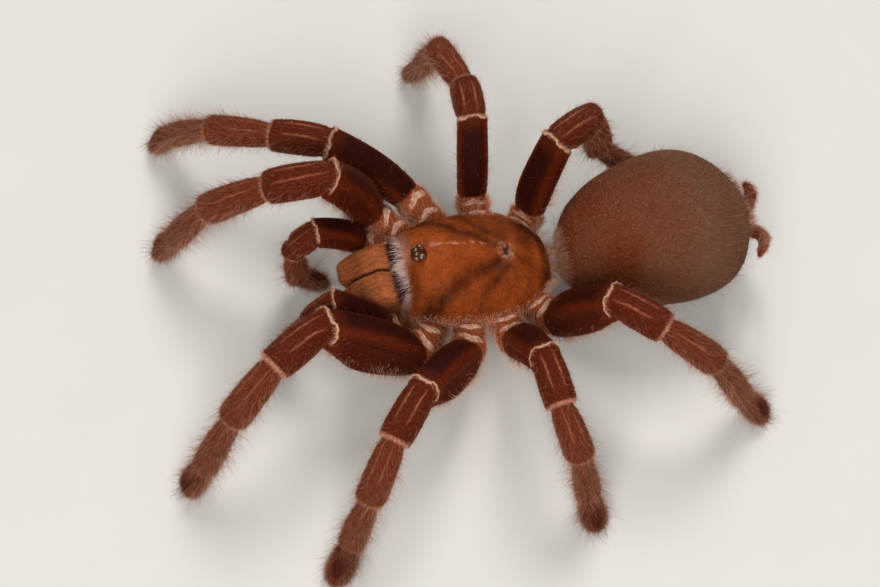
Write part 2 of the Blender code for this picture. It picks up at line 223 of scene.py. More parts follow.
class Course:
    # carries a straight tube onto a chain of joints; at each joint its rings lean to the
    # plane that halves the bend, so that the tube keeps its thickness there
    def __init__(self, joints):
        self.joints = joints
        spans = np.diff(joints, axis=0)
        self.lengths = np.linalg.norm(spans, axis=1)
        self.axes = unit(spans)
        self.tops = unit(up - self.axes * self.axes[:, 2:])
        self.planes = unit(self.padded(self.axes))
        shared = self.padded(self.tops)
        self.jointTops = unit(shared - self.planes * (shared * self.planes).sum(1, keepdims=True))
        self.turns = np.pad(unit(self.axes[1:] - self.axes[:-1]), ((1, 1), (0, 0)))
        cosines = (self.planes[1:-1] * self.axes[:-1]).sum(1)
        self.stretch = np.concatenate([[1], 1 / np.maximum(cosines, 0.5), [1]])

    def padded(self, rows):
        return np.vstack([rows[:1], rows[:-1] + rows[1:], rows[-1:]])

    def atJoint(self, joint, across, height):
        tops = self.jointTops[joint]
        offset = np.cross(tops, self.planes[joint]) * across + tops * height
        turns = self.turns[joint]
        lean = (offset * turns).sum(1, keepdims=True) * (self.stretch[joint] - 1)[:, None]
        return offset + turns * lean

    def carry(self, along, across, height, bow):
        # places and lie of the coat for points of the straight tube
        segment = np.clip(along.astype(int), 0, len(self.axes) - 1)
        share = (along - segment)[:, None]
        across, height = across[:, None], height[:, None]
        axes, tops = self.axes[segment], self.tops[segment]
        offset = np.cross(tops, axes) * across + tops * height
        middle = self.joints[segment] + axes * share * self.lengths[segment][:, None]
        middle += tops * bow[segment][:, None] * np.sin(pi * np.clip(share, 0, 1))
        leaned, lie = offset.copy(), axes.copy()
        for joint, pull in (segment, 1 - ease(share, 0, 0.45)), (segment + 1, ease(share, 0.55, 1)):
            leaned += pull * (self.atJoint(joint, across, height) - offset)
            lie += pull * (self.planes[joint] - axes)
        return middle + leaned, unit(lie)


# surfaces that hairs grow on
def steadyTriangles(mesh, points):
    # the mesh tools may give faces and corners in another order each time, which would move the
    # hairs, so both are put in order of their place along a slanted line
    order = points @ np.array((0.613, 0.371, 0.697))
    corners, sizes = (np.empty(len(rows), np.int32) for rows in (mesh.loops, mesh.polygons))
    mesh.loops.foreach_get("vertex_index", corners)
    mesh.polygons.foreach_get("loop_total", sizes)
    starts = np.cumsum(sizes) - sizes
    triangles = []
    for size in np.unique(sizes):
        faces = corners[starts[sizes == size][:, None] + np.arange(size)]
        first = order[faces].argmin(axis=1)[:, None]
        faces = np.take_along_axis(faces, (first + np.arange(size)) % size, axis=1)
        triangles += [faces[:, (0, corner, corner + 1)] for corner in range(1, size - 1)]
    triangles = np.concatenate(triangles)
    return triangles[np.argsort(order[triangles].sum(axis=1), kind="stable")]


def surface(piece, lie, **marks):
    # lie is which way the coat points; marks are numbers for each point of the piece
    points = places(piece)
    normals = np.empty(points.size)
    piece.data.vertices.foreach_get("normal", normals)
    return {
        "piece": piece, "places": points, "normals": normals.reshape(-1, 3),
        "lie": np.broadcast_to(lie, points.shape), "triangles": steadyTriangles(piece.data, points),
        "marks": {name: np.full(len(points), values, float) for name, values in marks.items()},
    }


def bodySurface(piece, lie, shade, pale=0.0, **marks):
    mark(piece, shade=shade, pale=pale)
    return surface(piece, lie, shade=shade, **marks)


def scatter(ground, perSquare, seed, chance=lambda middles: 1.0):
    # roots spread over a surface, perSquare to the square millimetre times chance
    rng = np.random.default_rng(seed)
    triangles = ground["triangles"]
    corners = ground["places"][triangles] / mm
    sides = corners[:, 1:] - corners[:, :1]
    area = np.linalg.norm(np.cross(sides[:, 0], sides[:, 1]), axis=1) / 2
    values = {name: numbers[triangles] for name, numbers in ground["marks"].items()}
    if "around" in values:         # where a turn closes, carry on past half a turn
        threes = values["around"]
        split = np.ptp(threes, axis=1, keepdims=True) > pi
        values["around"] = np.where(split & (threes < 0), threes + 2 * pi, threes)
    middles = {name: threes.mean(axis=1) for name, threes in values.items()}
    middles["normals"] = ground["normals"][triangles].mean(axis=1)
    middles["places"] = corners.mean(axis=1) * mm
    weight = area * np.clip(chance(middles), 0, None)
    count = int(weight.sum() * perSquare * hairShare)
    chosen = np.searchsorted(np.cumsum(weight) / weight.sum(), rng.random(count) * 0.999999)
    root, slide = np.sqrt(rng.random(count)), rng.random(count)
    shares = columns(1 - root, root * (1 - slide), root * slide)
    roots = {name: (threes[chosen] * shares).sum(axis=1) for name, threes in values.items()}
    for name in ("places", "normals", "lie"):
        roots[name] = (ground[name][triangles[chosen]] * shares[:, :, None]).sum(axis=1)
    roots["normals"] = unit(roots["normals"])
    roots["tone"] = rng.random(count)
    roots["rng"] = rng
    return roots


def unwrapped(roots, across, along, column=0, count=1):
    # a place on the unwrap: across and along are shares, several surfaces stand side by side
    u = (column + 0.04 + 0.92 * np.clip(across, 0, 1)) / count
    roots["unwrap"] = columns(u, 0.02 + 0.96 * np.clip(along, 0, 1))
    return roots


def turnShare(roots):
    return np.mod(roots["around"] + pi, 2 * pi) / (2 * pi)


def grow(roots, length, width, lift, droop, spread, bands=1, fall=0.0, pale=0.0):
    # solid hairs: a three-sided root, with a bend in the middle where bands is 2, and a point.
    # length, width in mm, lift from the skin and droop of the tip in degrees
    rng, count, normal = roots["rng"], len(roots["places"]), roots["normals"]
    lie = unit(roots["lie"] - normal * (roots["lie"] * normal).sum(1, keepdims=True))
    flat = unit(lie + np.cross(normal, lie) * rng.normal(0, spread, (count, 1)))
    rise = np.radians(lift * (0.65 + 0.7 * rng.random(count)))[:, None]
    tipRise = rise - np.radians(droop)
    start = flat * np.cos(rise) + normal * np.sin(rise)
    end = unit(flat * np.cos(tipRise) + normal * np.sin(tipRise) - up * fall)
    reach = (length * (0.7 + 0.6 * rng.random(count)) * mm)[:, None]
    foot = roots["places"] - normal * 0.12 * mm    # the root sits in the skin
    elbow = foot + start * reach / 2
    tip = elbow + end * reach / 2
    sideways = unit(np.cross(start, normal) + 1e-9)
    other = np.cross(start, sideways)
    radius = np.reshape(width, (-1, 1)) / 2 * mm
    points = [
        centre + (sideways * cos(angle) + other * sin(angle)) * radius * share
        for centre, share in ((foot, 1.0), ((foot + elbow * 2 + tip) / 4, 0.72))[:bands]
        for angle in (0, 2 * pi / 3, 4 * pi / 3)
    ]
    points = np.stack(points + [tip], axis=1)
    points[:, :, 2] = np.maximum(points[:, :, 2], 0.02 * mm)
    roots["pale"] = pale
    hairs = {
        name: np.broadcast_to(roots.get(name, 0.0), count)
        for name in ("along", "flank", "shade", "tone", "pale")
    }
    return {"points": points, "bands": bands, "unwrap": roots["unwrap"], **hairs}


def hairFaces(bands):
    sides = [(0, 2, 1)]
    top = 3 * (bands - 1)
    for turn in range(3):
        after = (turn + 1) % 3
        if bands == 2:
            sides += [(turn, after, 3 + after), (turn, 3 + after, 3 + turn)]
        sides.append((top + turn, top + after, 3 * bands))
    return np.array(sides)


def coatPiece(name, tufts, paint, slot):
    # one mesh of many hairs, with their markings and their own small places on the unwrap
    patchRadius = 0.0015
    points, faces, uvs, start = [], [], [], 0
    marks = {"along": [], "flank": [], "shade": [], "tone": [], "pale": [], "tip": []}
    for tuft in tufts:
        count, size = tuft["points"].shape[:2]
        rows = np.arange(count)[:, None, None] * size + hairFaces(tuft["bands"]) + start
        faces.append(rows.reshape(-1, 3))
        points.append(tuft["points"].reshape(-1, 3))
        ringShare = np.array([1.0, 0.5][:tuft["bands"]]).repeat(3)
        angles = np.arange(len(ringShare)) * 2 * pi / 3
        patch = columns(np.cos(angles), np.sin(angles)) * ringShare[:, None] * patchRadius
        uvs.append((tuft["unwrap"][:, None] + np.vstack([patch, (0, 0)])).reshape(-1, 2))
        tips = np.append(1 - ringShare if tuft["bands"] == 2 else np.zeros(3), 1.0)
        for key, values in marks.items():
            values.append(np.tile(tips, count) if key == "tip" else np.repeat(tuft[key], size))
        start += count * size
    points, faces, uvs = (np.concatenate(rows) for rows in (points, faces, uvs))
    mesh = bpy.data.meshes.new(name)
    mesh.vertices.add(len(points))
    mesh.vertices.foreach_set("co", points.astype(np.float32).ravel())
    mesh.loops.add(faces.size)
    mesh.loops.foreach_set("vertex_index", faces.astype(np.int32).ravel())
    mesh.polygons.add(len(faces))
    mesh.polygons.foreach_set("loop_start", np.arange(len(faces), dtype=np.int32) * 3)
    layer = mesh.uv_layers.new(name="OFBake")
    layer.data.foreach_set("uv", np.clip(uvs[faces.ravel()], 0, 1).astype(np.float32).ravel())
    piece = bpy.data.objects.new(name, mesh)
    bpy.context.scene.collection.objects.link(piece)
    mark(piece, **{key: np.concatenate(values) for key, values in marks.items()})
    mesh.update(calc_edges=True)
    mesh.validate()
    mesh.materials.append(paint)
    settle(piece, slot)
    print(f"{name}: {len(faces)} triangles")


# finishes
def srgb(*levels):
    # a colour given as 0 to 255 on the screen
    shares = np.array(levels) / 255
    linear = np.where(shares <= 0.04045, shares / 12.92, ((shares + 0.055) / 1.055) ** 2.4)
    return (*linear.tolist(), 1)


class Wire:
    # a socket that can stand in a sum
    def __init__(self, paint, socket):
        self.paint, self.socket = paint, socket

    def sum(self, operation, first, second):
        return self.paint.add("ShaderNodeMath", {"operation": operation}, {0: first, 1: second})

    def __add__(self, other):
        return self.sum("ADD", self, other)

    def __radd__(self, other):
        return self.sum("ADD", other, self)

    def __sub__(self, other):
        return self.sum("SUBTRACT", self, other)

    def __rsub__(self, other):
        return self.sum("SUBTRACT", other, self)

    def __mul__(self, other):
        return self.sum("MULTIPLY", self, other)

    def __rmul__(self, other):
        return self.sum("MULTIPLY", other, self)

    def __truediv__(self, other):
        return self.sum("DIVIDE", self, other)

    def __pow__(self, other):
        if other == 2:             # also right below nothing
            return self * self
        return self.sum("POWER", self, other)


class Paint:
    def __init__(self, name, **settings):
        self.material = bpy.data.materials.new(name)
        self.material.use_nodes = True
        self.tree = self.material.node_tree
        self.feed(**settings)

    def add(self, kind, settings, inputs, output=0):
        node = self.tree.nodes.new(kind)
        for key, value in settings.items():
            setattr(node, key, value)
        for key, value in inputs.items():
            self.give(node.inputs[key], value)
        return Wire(self, node.outputs[output])

    def give(self, socket, value):
        if isinstance(value, Wire):
            self.tree.links.new(value.socket, socket)
        elif isinstance(value, tuple):             # a colour also goes into a vector's three places
            socket.default_value = value[:len(socket.default_value)]
        else:
            socket.default_value = value

    def feed(self, **values):
        for key, value in values.items():
            self.give(self.tree.nodes["Principled BSDF"].inputs[key.replace("_", " ")], value)
        return self.material

    def attribute(self, name):
        return self.add("ShaderNodeAttribute", {"attribute_name": name}, {}, "Fac")

    def noise(self, scale, detail, roughness=0.5, place=None):
        place = place or self.add("ShaderNodeTexCoord", {}, {}, "Object")
        inputs = {"Vector": place, "Scale": scale, "Detail": detail, "Roughness": roughness}
        return self.add("ShaderNodeTexNoise", {}, inputs, "Fac")

    def stretched(self, x, y, scale, detail):
        # noise over a surface's own two directions
        place = self.add("ShaderNodeCombineXYZ", {}, {"X": x, "Y": y})
        return self.noise(scale, detail, place=place)

    def rise(self, value, low, high):
        # 0 below low, 1 above high, smooth between
        inputs = {"Value": value, "From Min": low, "From Max": high}
        return self.add("ShaderNodeMapRange", {"interpolation_type": "SMOOTHSTEP"}, inputs)

    def within(self, value, low, high, soft):
        past = self.rise(value, high - soft, high + soft)
        return self.rise(value, low - soft, low + soft) * (1 - past)

    def bands(self, value, rows):
        return sum(self.within(value, low, high, soft) * weight for low, high, soft, weight in rows)

    def mix(self, first, second, amount):
        inputs = {0: amount, 6: first, 7: second}
        return self.add("ShaderNodeMix", {"data_type": "RGBA", "clamp_factor": True}, inputs, 2)

    def scaled(self, colour, amount):
        inputs = {0: colour, "Scale": amount}
        return self.add("ShaderNodeVectorMath", {"operation": "SCALE"}, inputs)

    def bump(self, height, strength, distance):
        inputs = {"Strength": strength, "Distance": distance, "Height": height}
        return self.add("ShaderNodeBump", {}, inputs)


# femurEdge is the orange of the velvet's sheen, painted on
limbTints = {
    "coxa": srgb(146, 72, 38), "femur": srgb(47, 11, 5), "femurEdge": srgb(112, 40, 13),
    "femurFlank": srgb(74, 22, 8), "patella": srgb(92, 32, 13), "tibia": srgb(108, 43, 21),
    "metatarsus": srgb(108, 50, 30), "tarsus": srgb(92, 40, 24), "bald": srgb(66, 22, 10),
    "ring": srgb(240, 190, 152), "rim": srgb(200, 134, 104), "streak": srgb(196, 122, 90),
    "crescent": srgb(222, 180, 156), "pale": srgb(226, 176, 146), "furrow": srgb(34, 10, 5),
}
limbMarkings = {         # along: low, high, softness and strength, counted in segments
    "streaks": ((2.12, 2.72, 0.07, 1.0), (3.10, 3.62, 0.09, 0.7), (4.12, 4.7, 0.09, 0.35)),
    "rims": ((2.945, 3.0, 0.02, 0.85), (3.945, 4.0, 0.02, 0.6), (4.955, 5.0, 0.02, 0.35)),
    "furrow": ((1.2, 1.88, 0.06, 0.8),),
    "crescents": ((0.655, 0.06), (0.955, 0.065)),  # middle, half width
    "baldSpot": (5.52, 0.34, 0.23),                # middle, half length, half width
}


def limbColour(paint, along, flank):
    # the markings of a limb: along counts the segments from the body, flank goes from 0 on
    # the upper side to 1 below
    tints, marks = limbTints, limbMarkings
    wobble = paint.stretched(along * 3.0, flank * 5.0, 2.4, 3.0)
    edge = flank + (wobble - 0.5) * 0.10
    # painted sheen: the femur's upper edges take the orange of its velvet seen edge-on
    femur = paint.mix(tints["femur"], tints["femurEdge"], paint.rise(edge, 0.12, 0.29) * 0.6)
    femur = paint.mix(femur, tints["femurFlank"], paint.rise(edge, 0.28, 0.44))
    # the furrow's dark line: partly a darker stripe of its own, partly painted shade in the crease
    furrow = paint.within(flank, 0.445, 0.475, 0.018) * paint.bands(along, marks["furrow"])
    femur = paint.mix(femur, tints["furrow"], furrow)
    femur = paint.mix(femur, tints["femurEdge"], paint.rise(along, 1.80, 1.96) * 0.45)
    colour = paint.mix(tints["coxa"], femur, paint.rise(along, 1.01, 1.05))
    for joint, name in ((2.01, "patella"), (3.0, "tibia"), (4.0, "metatarsus"), (5.0, "tarsus")):
        colour = paint.mix(colour, tints[name], paint.rise(along, joint - 0.01, joint + 0.03))
    # paired pale streaks and the rims of the joints
    streaks = paint.within(flank + (wobble - 0.5) * 0.07, 0.108, 0.135, 0.024)
    streaks = streaks * paint.bands(along, marks["streaks"]) * (wobble * 1.7 - 0.25)
    colour = paint.mix(colour, tints["streak"], streaks)
    colour = paint.mix(colour, tints["rim"], paint.bands(along, marks["rims"]))
    # pale bare crescents above the hip's two joints, with the shine of the bare skin painted on
    # them
    strands = paint.rise(paint.stretched(along * 26.0, flank * 3.0, 1.6, 2.0), 0.40, 0.60)
    for middle, half in marks["crescents"]:
        bent = (along + flank * 0.30 - middle) / half
        oval = bent ** 2 + (flank / 0.30) ** 2
        shine = (1 - paint.rise(oval, 0.45, 1.2)) * (0.12 + 0.95 * strands)
        colour = paint.mix(colour, tints["crescent"], shine)
    # the ring at the knee: a thin line with a kink at each shoulder
    uneven = along + (wobble - 0.5) * 0.05 + 0.022 * paint.rise(flank, 0.10, 0.16)
    ring = paint.within(uneven, 1.980, 2.000, 0.010) * (1 - paint.rise(flank, 0.46, 0.62))
    colour = paint.mix(colour, tints["ring"], ring * (0.55 + wobble * 0.6))
    middle, halfLength, halfWidth = marks["baldSpot"]
    spot = ((along - middle) / halfLength) ** 2 + (flank / halfWidth) ** 2
    return paint.mix(colour, tints["bald"], (1 - paint.rise(spot, 0.5, 1.15)) * 0.9)


def hairColour(paint, colour, paleTint):
    # a hair is darker at its root, and no two are alike
    tone, tip, pale = (paint.attribute(name) for name in ("tone", "tip", "pale"))
    grain = paint.rise(paint.noise(2900.0, 1.0), 0.32, 0.68)
    lit = paint.scaled(colour, (0.36 + 0.75 * grain + 0.95 * tone ** 3) * (0.78 + 0.5 * tip))
    return paint.mix(lit, paleTint, pale * (0.45 + 0.55 * tip) * (0.6 + 0.4 * tone))


velvetShine = {"Sheen_Roughness": 0.35, "Specular_IOR_Level": 0.05, "Sheen_Weight": 0.15}
limbShine = {
    "Sheen_Roughness": 0.35, "Specular_IOR_Level": 0.04, "Sheen_Weight": 0.18,
    "Sheen_Tint": srgb(220, 100, 48), "Roughness": 0.62,
}


def limbPaint(name, hairy):
    paint = Paint(name, **limbShine)
    colour = limbColour(paint, paint.attribute("along"), paint.attribute("flank"))
    if hairy:
        return paint.feed(Base_Color=hairColour(paint, colour, limbTints["pale"]))
    grain = paint.noise(1800.0, 4.0)
    colour = paint.scaled(colour, 0.2 + 0.9 * grain)
    return paint.feed(Base_Color=colour, Normal=paint.bump(grain, 0.5, 0.0003))


bodyTints = {            # where shade is 0, where it is 1, pale over both, sheen; patchiness
    "carapace": (srgb(60, 22, 7), srgb(150, 68, 23), srgb(230, 180, 154), srgb(220, 120, 60), 1.15),
    "brow": (srgb(124, 58, 30), srgb(168, 98, 68), srgb(236, 206, 196), srgb(220, 180, 170), 0.2),
    "abdomen": (
        srgb(102, 43, 14), srgb(112, 74, 55), srgb(206, 158, 128), srgb(200, 140, 110), 0.7,
    ),
    "chelicera": (srgb(40, 16, 9), srgb(176, 98, 56), srgb(210, 152, 116), srgb(220, 140, 90), 0.5),
    "underside": (
        srgb(52, 24, 16), srgb(104, 60, 42), srgb(216, 168, 146), srgb(180, 120, 90), 0.4,
    ),
}


def bodyPaint(name, kind, hairy, roughness, bump=0.5):
    low, high, pale, sheen, patchiness = bodyTints[kind]
    paint = Paint(name, Roughness=roughness, Sheen_Tint=sheen, **velvetShine)
    mottle = paint.noise(420.0, 4.0, 0.6)
    colour = paint.mix(low, high, paint.attribute("shade") + (mottle - 0.5) * patchiness)
    if hairy:
        return paint.feed(Base_Color=hairColour(paint, colour, pale))
    grain = paint.noise(2200.0, 4.0)
    colour = paint.scaled(paint.mix(colour, pale, paint.attribute("pale")), 0.35 + 0.75 * grain)
    return paint.feed(Base_Color=colour, Normal=paint.bump(grain, bump, 0.0003))


def fangPaint():
    paint = Paint("fang", Roughness=0.22, Coat_Weight=0.3)
    streaks = paint.noise(900.0, 4.0)
    colour = paint.mix(srgb(20, 12, 10), srgb(70, 26, 16), streaks * 0.5)
    return paint.feed(Base_Color=colour, Normal=paint.bump(streaks, 0.2, 0.0002))


def eyePaint():
    # silvery round the rim, dark in the middle
    paint = Paint("eye", Roughness=0.05, Coat_Weight=0.8, IOR=1.5)
    silver = paint.attribute("shade") * (0.6 + 0.8 * paint.noise(2500.0, 2.0))
    return paint.feed(Base_Color=paint.mix(srgb(20, 10, 6), srgb(158, 112, 78), silver))


# where things are, read from the frame
def nodePoints(node):
    points = places(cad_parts[node]).astype(np.float32).round(6)
    return np.unique(points, axis=0).astype(float)


def meetingPoint(first, second):
    # the middle of the cut face where neighbouring segments meet
    a, b = nodePoints(first), nodePoints(second)
    apart = np.linalg.norm(a[:, None] - b[None], axis=2)
    near = 1.5 * mm
    faces = (a[apart.min(axis=1) < near], b[apart.min(axis=0) < near])
    return min(faces, key=len).mean(axis=0)


# the middle of the front body, on the floor
prosoma = np.mean([tuple(corner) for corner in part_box("carapace")], axis=0) + (0, 0.64 * mm, 0)
prosoma[2] = 0

limb = {
    "sides": 22,
    # where the coxae start, from the middle of the front body, in mm
    "roots": {
        "leg1": (6.5, -9.5), "leg2": (7.5, -3.5), "leg3": (7.5, 2.5), "leg4": (6.0, 8.5),
        "palp": (4.6, -12.5), "height": 9.6,
    },
    "girth": {"leg1": 1.04, "leg2": 1.0, "leg3": 0.96, "leg4": 0.98, "palp": 0.78},
    "bow": (0.0, 1.4, 0.5, 0.3, 0.3, 0.2),         # mm, coxa to tarsus
    "sole": 0.35,                                  # mm, lowest height of the skin
    "squareness": (2.2, 2.9, 2.4, 2.3, 2.2, 2.3),
    # down the femur: place round it, width, depth; first, last and softness along it
    "furrow": (0.48, 0.035, 0.12, 1.2, 1.88, 0.08),
    # the keel under a femur seen from its side: how far it leans over for its depth, the added
    # share of depth, and the turn in degrees that carries the markings round with it
    "keel": {
        "leg1_left": (0.62, 0.36, 24), "leg2_left": (0.5, 0.2, 20), "leg4_left": (-0.44, 0.18, -10),
    },
    # share of the segment, half width, half height in mm
    "coxa": (
        (0.0, 2.3, 2.5), (0.25, 3.0, 3.1), (0.50, 3.35, 3.35), (0.63, 3.4, 3.4), (0.675, 3.15, 3.2),
        (0.70, 3.05, 3.05), (0.75, 3.4, 3.4), (0.84, 3.6, 3.6), (0.94, 3.55, 3.55),
        (0.985, 3.15, 3.2),
    ),
    "femur": (
        (0.02, 2.95, 3.1), (0.06, 3.2, 3.6), (0.14, 3.4, 4.0), (0.28, 3.48, 4.3), (0.5, 3.58, 4.5),
        (0.7, 3.58, 4.35), (0.86, 3.5, 3.95), (0.93, 3.42, 3.72), (0.95, 3.45, 3.74),
        (0.968, 3.56, 3.82), (0.986, 3.5, 3.72), (0.998, 3.2, 3.4),
    ),
    "patella": (
        (0.03, 2.95, 3.1), (0.08, 3.2, 3.4), (0.22, 3.5, 3.65), (0.45, 3.62, 3.75),
        (0.7, 3.62, 3.7),
        (0.86, 3.5, 3.55), (0.94, 3.38, 3.4), (0.975, 3.2, 3.2), (0.996, 2.7, 2.7),
    ),
    "tibia": (
        (0.03, 2.4, 2.5), (0.09, 2.6, 2.75), (0.28, 2.98, 3.1), (0.55, 3.12, 3.2), (0.8, 3.2, 3.2),
        (0.91, 3.2, 3.2), (0.96, 3.0, 3.0), (0.992, 2.4, 2.4),
    ),
    "metatarsus": (
        (0.03, 1.95, 2.0), (0.1, 2.1, 2.1), (0.35, 2.45, 2.35), (0.65, 2.62, 2.4),
        (0.87, 2.62, 2.3),
        (0.95, 2.45, 2.15), (0.992, 2.0, 1.8),
    ),
    "tarsus": (
        (0.03, 2.05, 1.8), (0.1, 2.3, 1.95), (0.3, 2.7, 2.1), (0.55, 2.85, 2.0), (0.75, 2.65, 1.75),
        (0.89, 2.0, 1.35), (0.97, 1.1, 0.8), (1.0, 0.45, 0.4),
    ),
}


def bySegment(values, along):
    return np.interp(along, np.arange(6) + 0.5, values)


def limbJoints(name, kind, side):
    nodes = ["sternum_coxae"] + [f"{name}_{segment}" for segment in segments[kind]]
    rootX, rootY = limb["roots"][kind]
    joints = [prosoma + np.array((sideSigns[side] * rootX, rootY, limb["roots"]["height"])) * mm]
    joints += [meetingPoint(first, second) for first, second in zip(nodes, nodes[1:])]
    foot = nodePoints(nodes[-1])
    far = np.linalg.norm(foot - joints[-1], axis=1)
    joints.append(foot[far > far.max() - 0.4 * mm].mean(axis=0))
    return np.array(joints)


def modelStraightLimb(kind):
    stations = [
        (number + share, width, height)
        for number, segment in enumerate(("coxa", *segments[kind]))
        for share, width, height in limb[segment]
    ]
    return modelTube(f"straight_{kind}", stations, limb["sides"])


def finishSection(along, across, height, around):
    # squarer sections, with a furrow down each flank of the femur
    place, width, depth, *run = limb["furrow"]
    furrow = depth * hump(np.abs(around) / pi - place, width) * band(along, *run)
    reach = squared(np.arctan2(across, height), bySegment(limb["squareness"], along)) - furrow
    return across * reach, height * reach


def poseLimb(straight, name, kind, side):
    piece = straight.copy()
    piece.data = straight.data.copy()
    bpy.context.scene.collection.objects.link(piece)
    piece.name = piece.data.name = name
    along, across, height = places(piece).T
    lean, depth, turn = limb["keel"].get(name, (0, 0, 0))
    middle = np.sin(pi * np.clip(along - 1, 0, 1)) ** 0.7
    around = halfTurns(np.arctan2(across, height) + radians(turn) * middle)
    across, height = finishSection(along, across, height, around)
    height = np.where(height < 0, height * (1 + depth * middle), height)
    across = across - lean * middle * np.minimum(height, 0)
    size = limb["girth"][kind] * mm
    course = Course(limbJoints(name, kind, side))
    posed, lie = course.carry(along, across * size, height * size, np.array(limb["bow"]) * size)
    posed[:, 2] = np.maximum(posed[:, 2], limb["sole"] * mm)
    shape(piece, posed)
    if kind == "palp":             # its foot is numbered as a foot, past the missing segment
        along = along + ease(along, 3.97, 4.03)
    mark(piece, along=along, flank=np.abs(around) / pi)
    return surface(piece, lie, along=along, around=around)


# the plates and soft parts of the body
shield = {
    "length": 34.6, "shift": -0.8, "halfWidth": 14.2, "rim": 1.2, "margin": 13.2, "pitch": 5.0,
    "coat": 0.35,                                  # mm left for the velvet
    "outline": (
        (0.0, 0.70), (0.12, 0.80), (0.30, 0.94), (0.52, 1.0), (0.72, 0.93), (0.86, 0.74),
        (0.95, 0.46), (1.0, 0.22),
    ),
    "height": (
        (0.0, 6.4), (0.10, 10.3), (0.26, 11.0), (0.45, 9.6), (0.62, 7.4), (0.66, 7.2),
        (0.75, 7.2), (0.90, 4.4), (1.0, 1.2),
    ),
    # furrows of one side, in mm from the middle: half width, depth and strokes
    "furrows": (
        (1.5, 0.50, ((2.2, 3.4), (4.2, -0.6), (6.8, -5.8), (9.0, -9.5), (10.8, -13.5))),
        (1.2, 0.32, ((3.4, 5.2), (7.5, 1.0), (11.2, -2.6))),
        (1.1, 0.16, ((3.4, 6.4), (7.8, 6.6), (11.5, 6.8))),
        (1.1, 0.18, ((2.2, 8.4), (3.2, 10.9), (4.6, 14.2))),
    ),
    "fovea": (5.6, 1.5, 0.6, 0.6),                # y, half width, half length, depth
}


def tilted(points):
    # the level shield to its place: nose up, on its margin height
    x, y, z = points.T
    y, z = turned(y, z, -shield["pitch"])
    return prosoma + columns(x, y, z + shield["margin"]) * mm


def shieldFurrows(plan):
    # how deep the furrows are, and how dark, at points of the plan in mm; the darkness is partly
    # the furrows' own colour and partly painted shade, which grows with their depth and is
    # strongest in the pit
    x, y = plan.T
    depth, dark = np.zeros(len(plan)), np.zeros(len(plan))
    for width, deep, strokes in shield["furrows"]:
        near = hump(strokeDistance(columns(np.abs(x), y), strokes), width)
        depth = np.maximum(depth, near * deep)
        dark = np.maximum(dark, near * min(1.0, deep * 1.7))
    middle, halfWidth, halfLength, deep = shield["fovea"]
    pit = np.exp(-(x / halfWidth) ** 4) * hump(y - middle + 0.12 * x ** 2, halfLength)
    return depth + pit * deep, np.maximum(dark, pit)


def buildCarapace():
    piece = modelBall("carapace_plate", 176, 96)
    x, y, z = places(piece).T
    share = 0.5 + 0.5 * y
    sliceRadius = np.sqrt(np.maximum(1e-6, 1 - y * y))
    across = np.clip(x / sliceRadius, -1, 1)
    head = np.maximum(0, 1 - share / 0.55)
    dome = (1 - np.abs(across) ** (2.0 + 1.6 * head)) ** (0.5 + 0.35 * (1 - head))
    half = between(shield["outline"], share) * shield["halfWidth"]
    half = half * np.minimum(1, 0.35 + 1.9 * sliceRadius) - shield["coat"]
    planX, planY = across * half, (share - 0.5) * shield["length"] + shield["shift"]
    plan = columns(planX, planY)
    level = columns(planX, planY, between(shield["height"], share) * dome)
    depth, dark = shieldFurrows(plan)
    inside = ease(dome, 0.05, 0.4)
    level[:, 2] -= (shield["coat"] + depth) * inside - waves(level, 7.0, 5) * 0.05
    below = z < -1e-4
    level[:, 2] = np.where(below, -shield["rim"] * np.minimum(1, -z * 3), level[:, 2])
    shape(piece, tilted(level))
    # velvet: browner and darker down the furrows and in the pit, partly painted shade; a little
    # darker towards the margins; pale down one side of the head, grey round the pit
    foveaY = shield["fovea"][0]
    outer = ease(np.hypot(planX / 13.5, (planY + 1) / 17), 0.68, 1.0)
    shade = 0.78 - 0.66 * dark - 0.10 * outer + 0.16 * waves(level, 11.0, 8)
    # painted sheen: the velvet lighter down the middle of the head
    shade += 0.10 * band(planY, -14, -3, 3) * (1 - ease(np.abs(planX), 2, 6))
    streak = hump(planX + 2.1, 0.25) * band(planY, -11, 3, 1.5)
    streak *= 0.22 + 0.42 * waves(level, 1.8, 3)
    ringed = band(np.hypot(planX / 1.5, planY - foveaY + 0.2), 0.7, 1.7, 0.5)
    ringed *= 0.14 + 0.30 * waves(level, 1.1, 14)
    tuft = 0.3 * hump(np.hypot(planX + 2.4, planY + 10.6), 0.55)
    towardsBrow = 0.5 * (1 - ease(share, 0.02, 0.11)) * band(planX, -9, 0, 2.5)
    pale = np.clip(np.max([streak, ringed, tuft, towardsBrow], axis=0), 0, 1)
    # painted shade: the pit is darkened further
    pit = hump(np.hypot(planX / 1.5, (planY - foveaY) / 0.9), 1)
    shade = np.clip(shade - 0.5 * pit, 0, 1)
    # the coat lies away from the pit, and hangs over the front
    down = -0.2 * np.abs(planX) - 16 * (1 - ease(share, 0.01, 0.06))
    return bodySurface(
        piece, unit(columns(planX, planY - foveaY - 2.0, down)), shade, pale, paleness=pale,
        planX=planX, planY=planY, top=~below, brow=1 - ease(share, 0.015, 0.05),
        edge=np.maximum(1 - dome, ease(share, 0.955, 0.985)),
    )


belly = {
    "length": 44.0, "halfWidth": 17.6, "halfHeight": 15.0, "swing": -2.0, "rise": 2.5,
    "front": (1.4, 17.4, 14.0), "coat": 0.5,
}


def onBelly(points):
    # the abdomen's own frame, y back from the waist, to its place
    x, y, z = np.atleast_2d(points).T
    x, y = turned(x, y, -belly["swing"])
    return prosoma + (columns(x, y, z) + belly["front"]) * mm


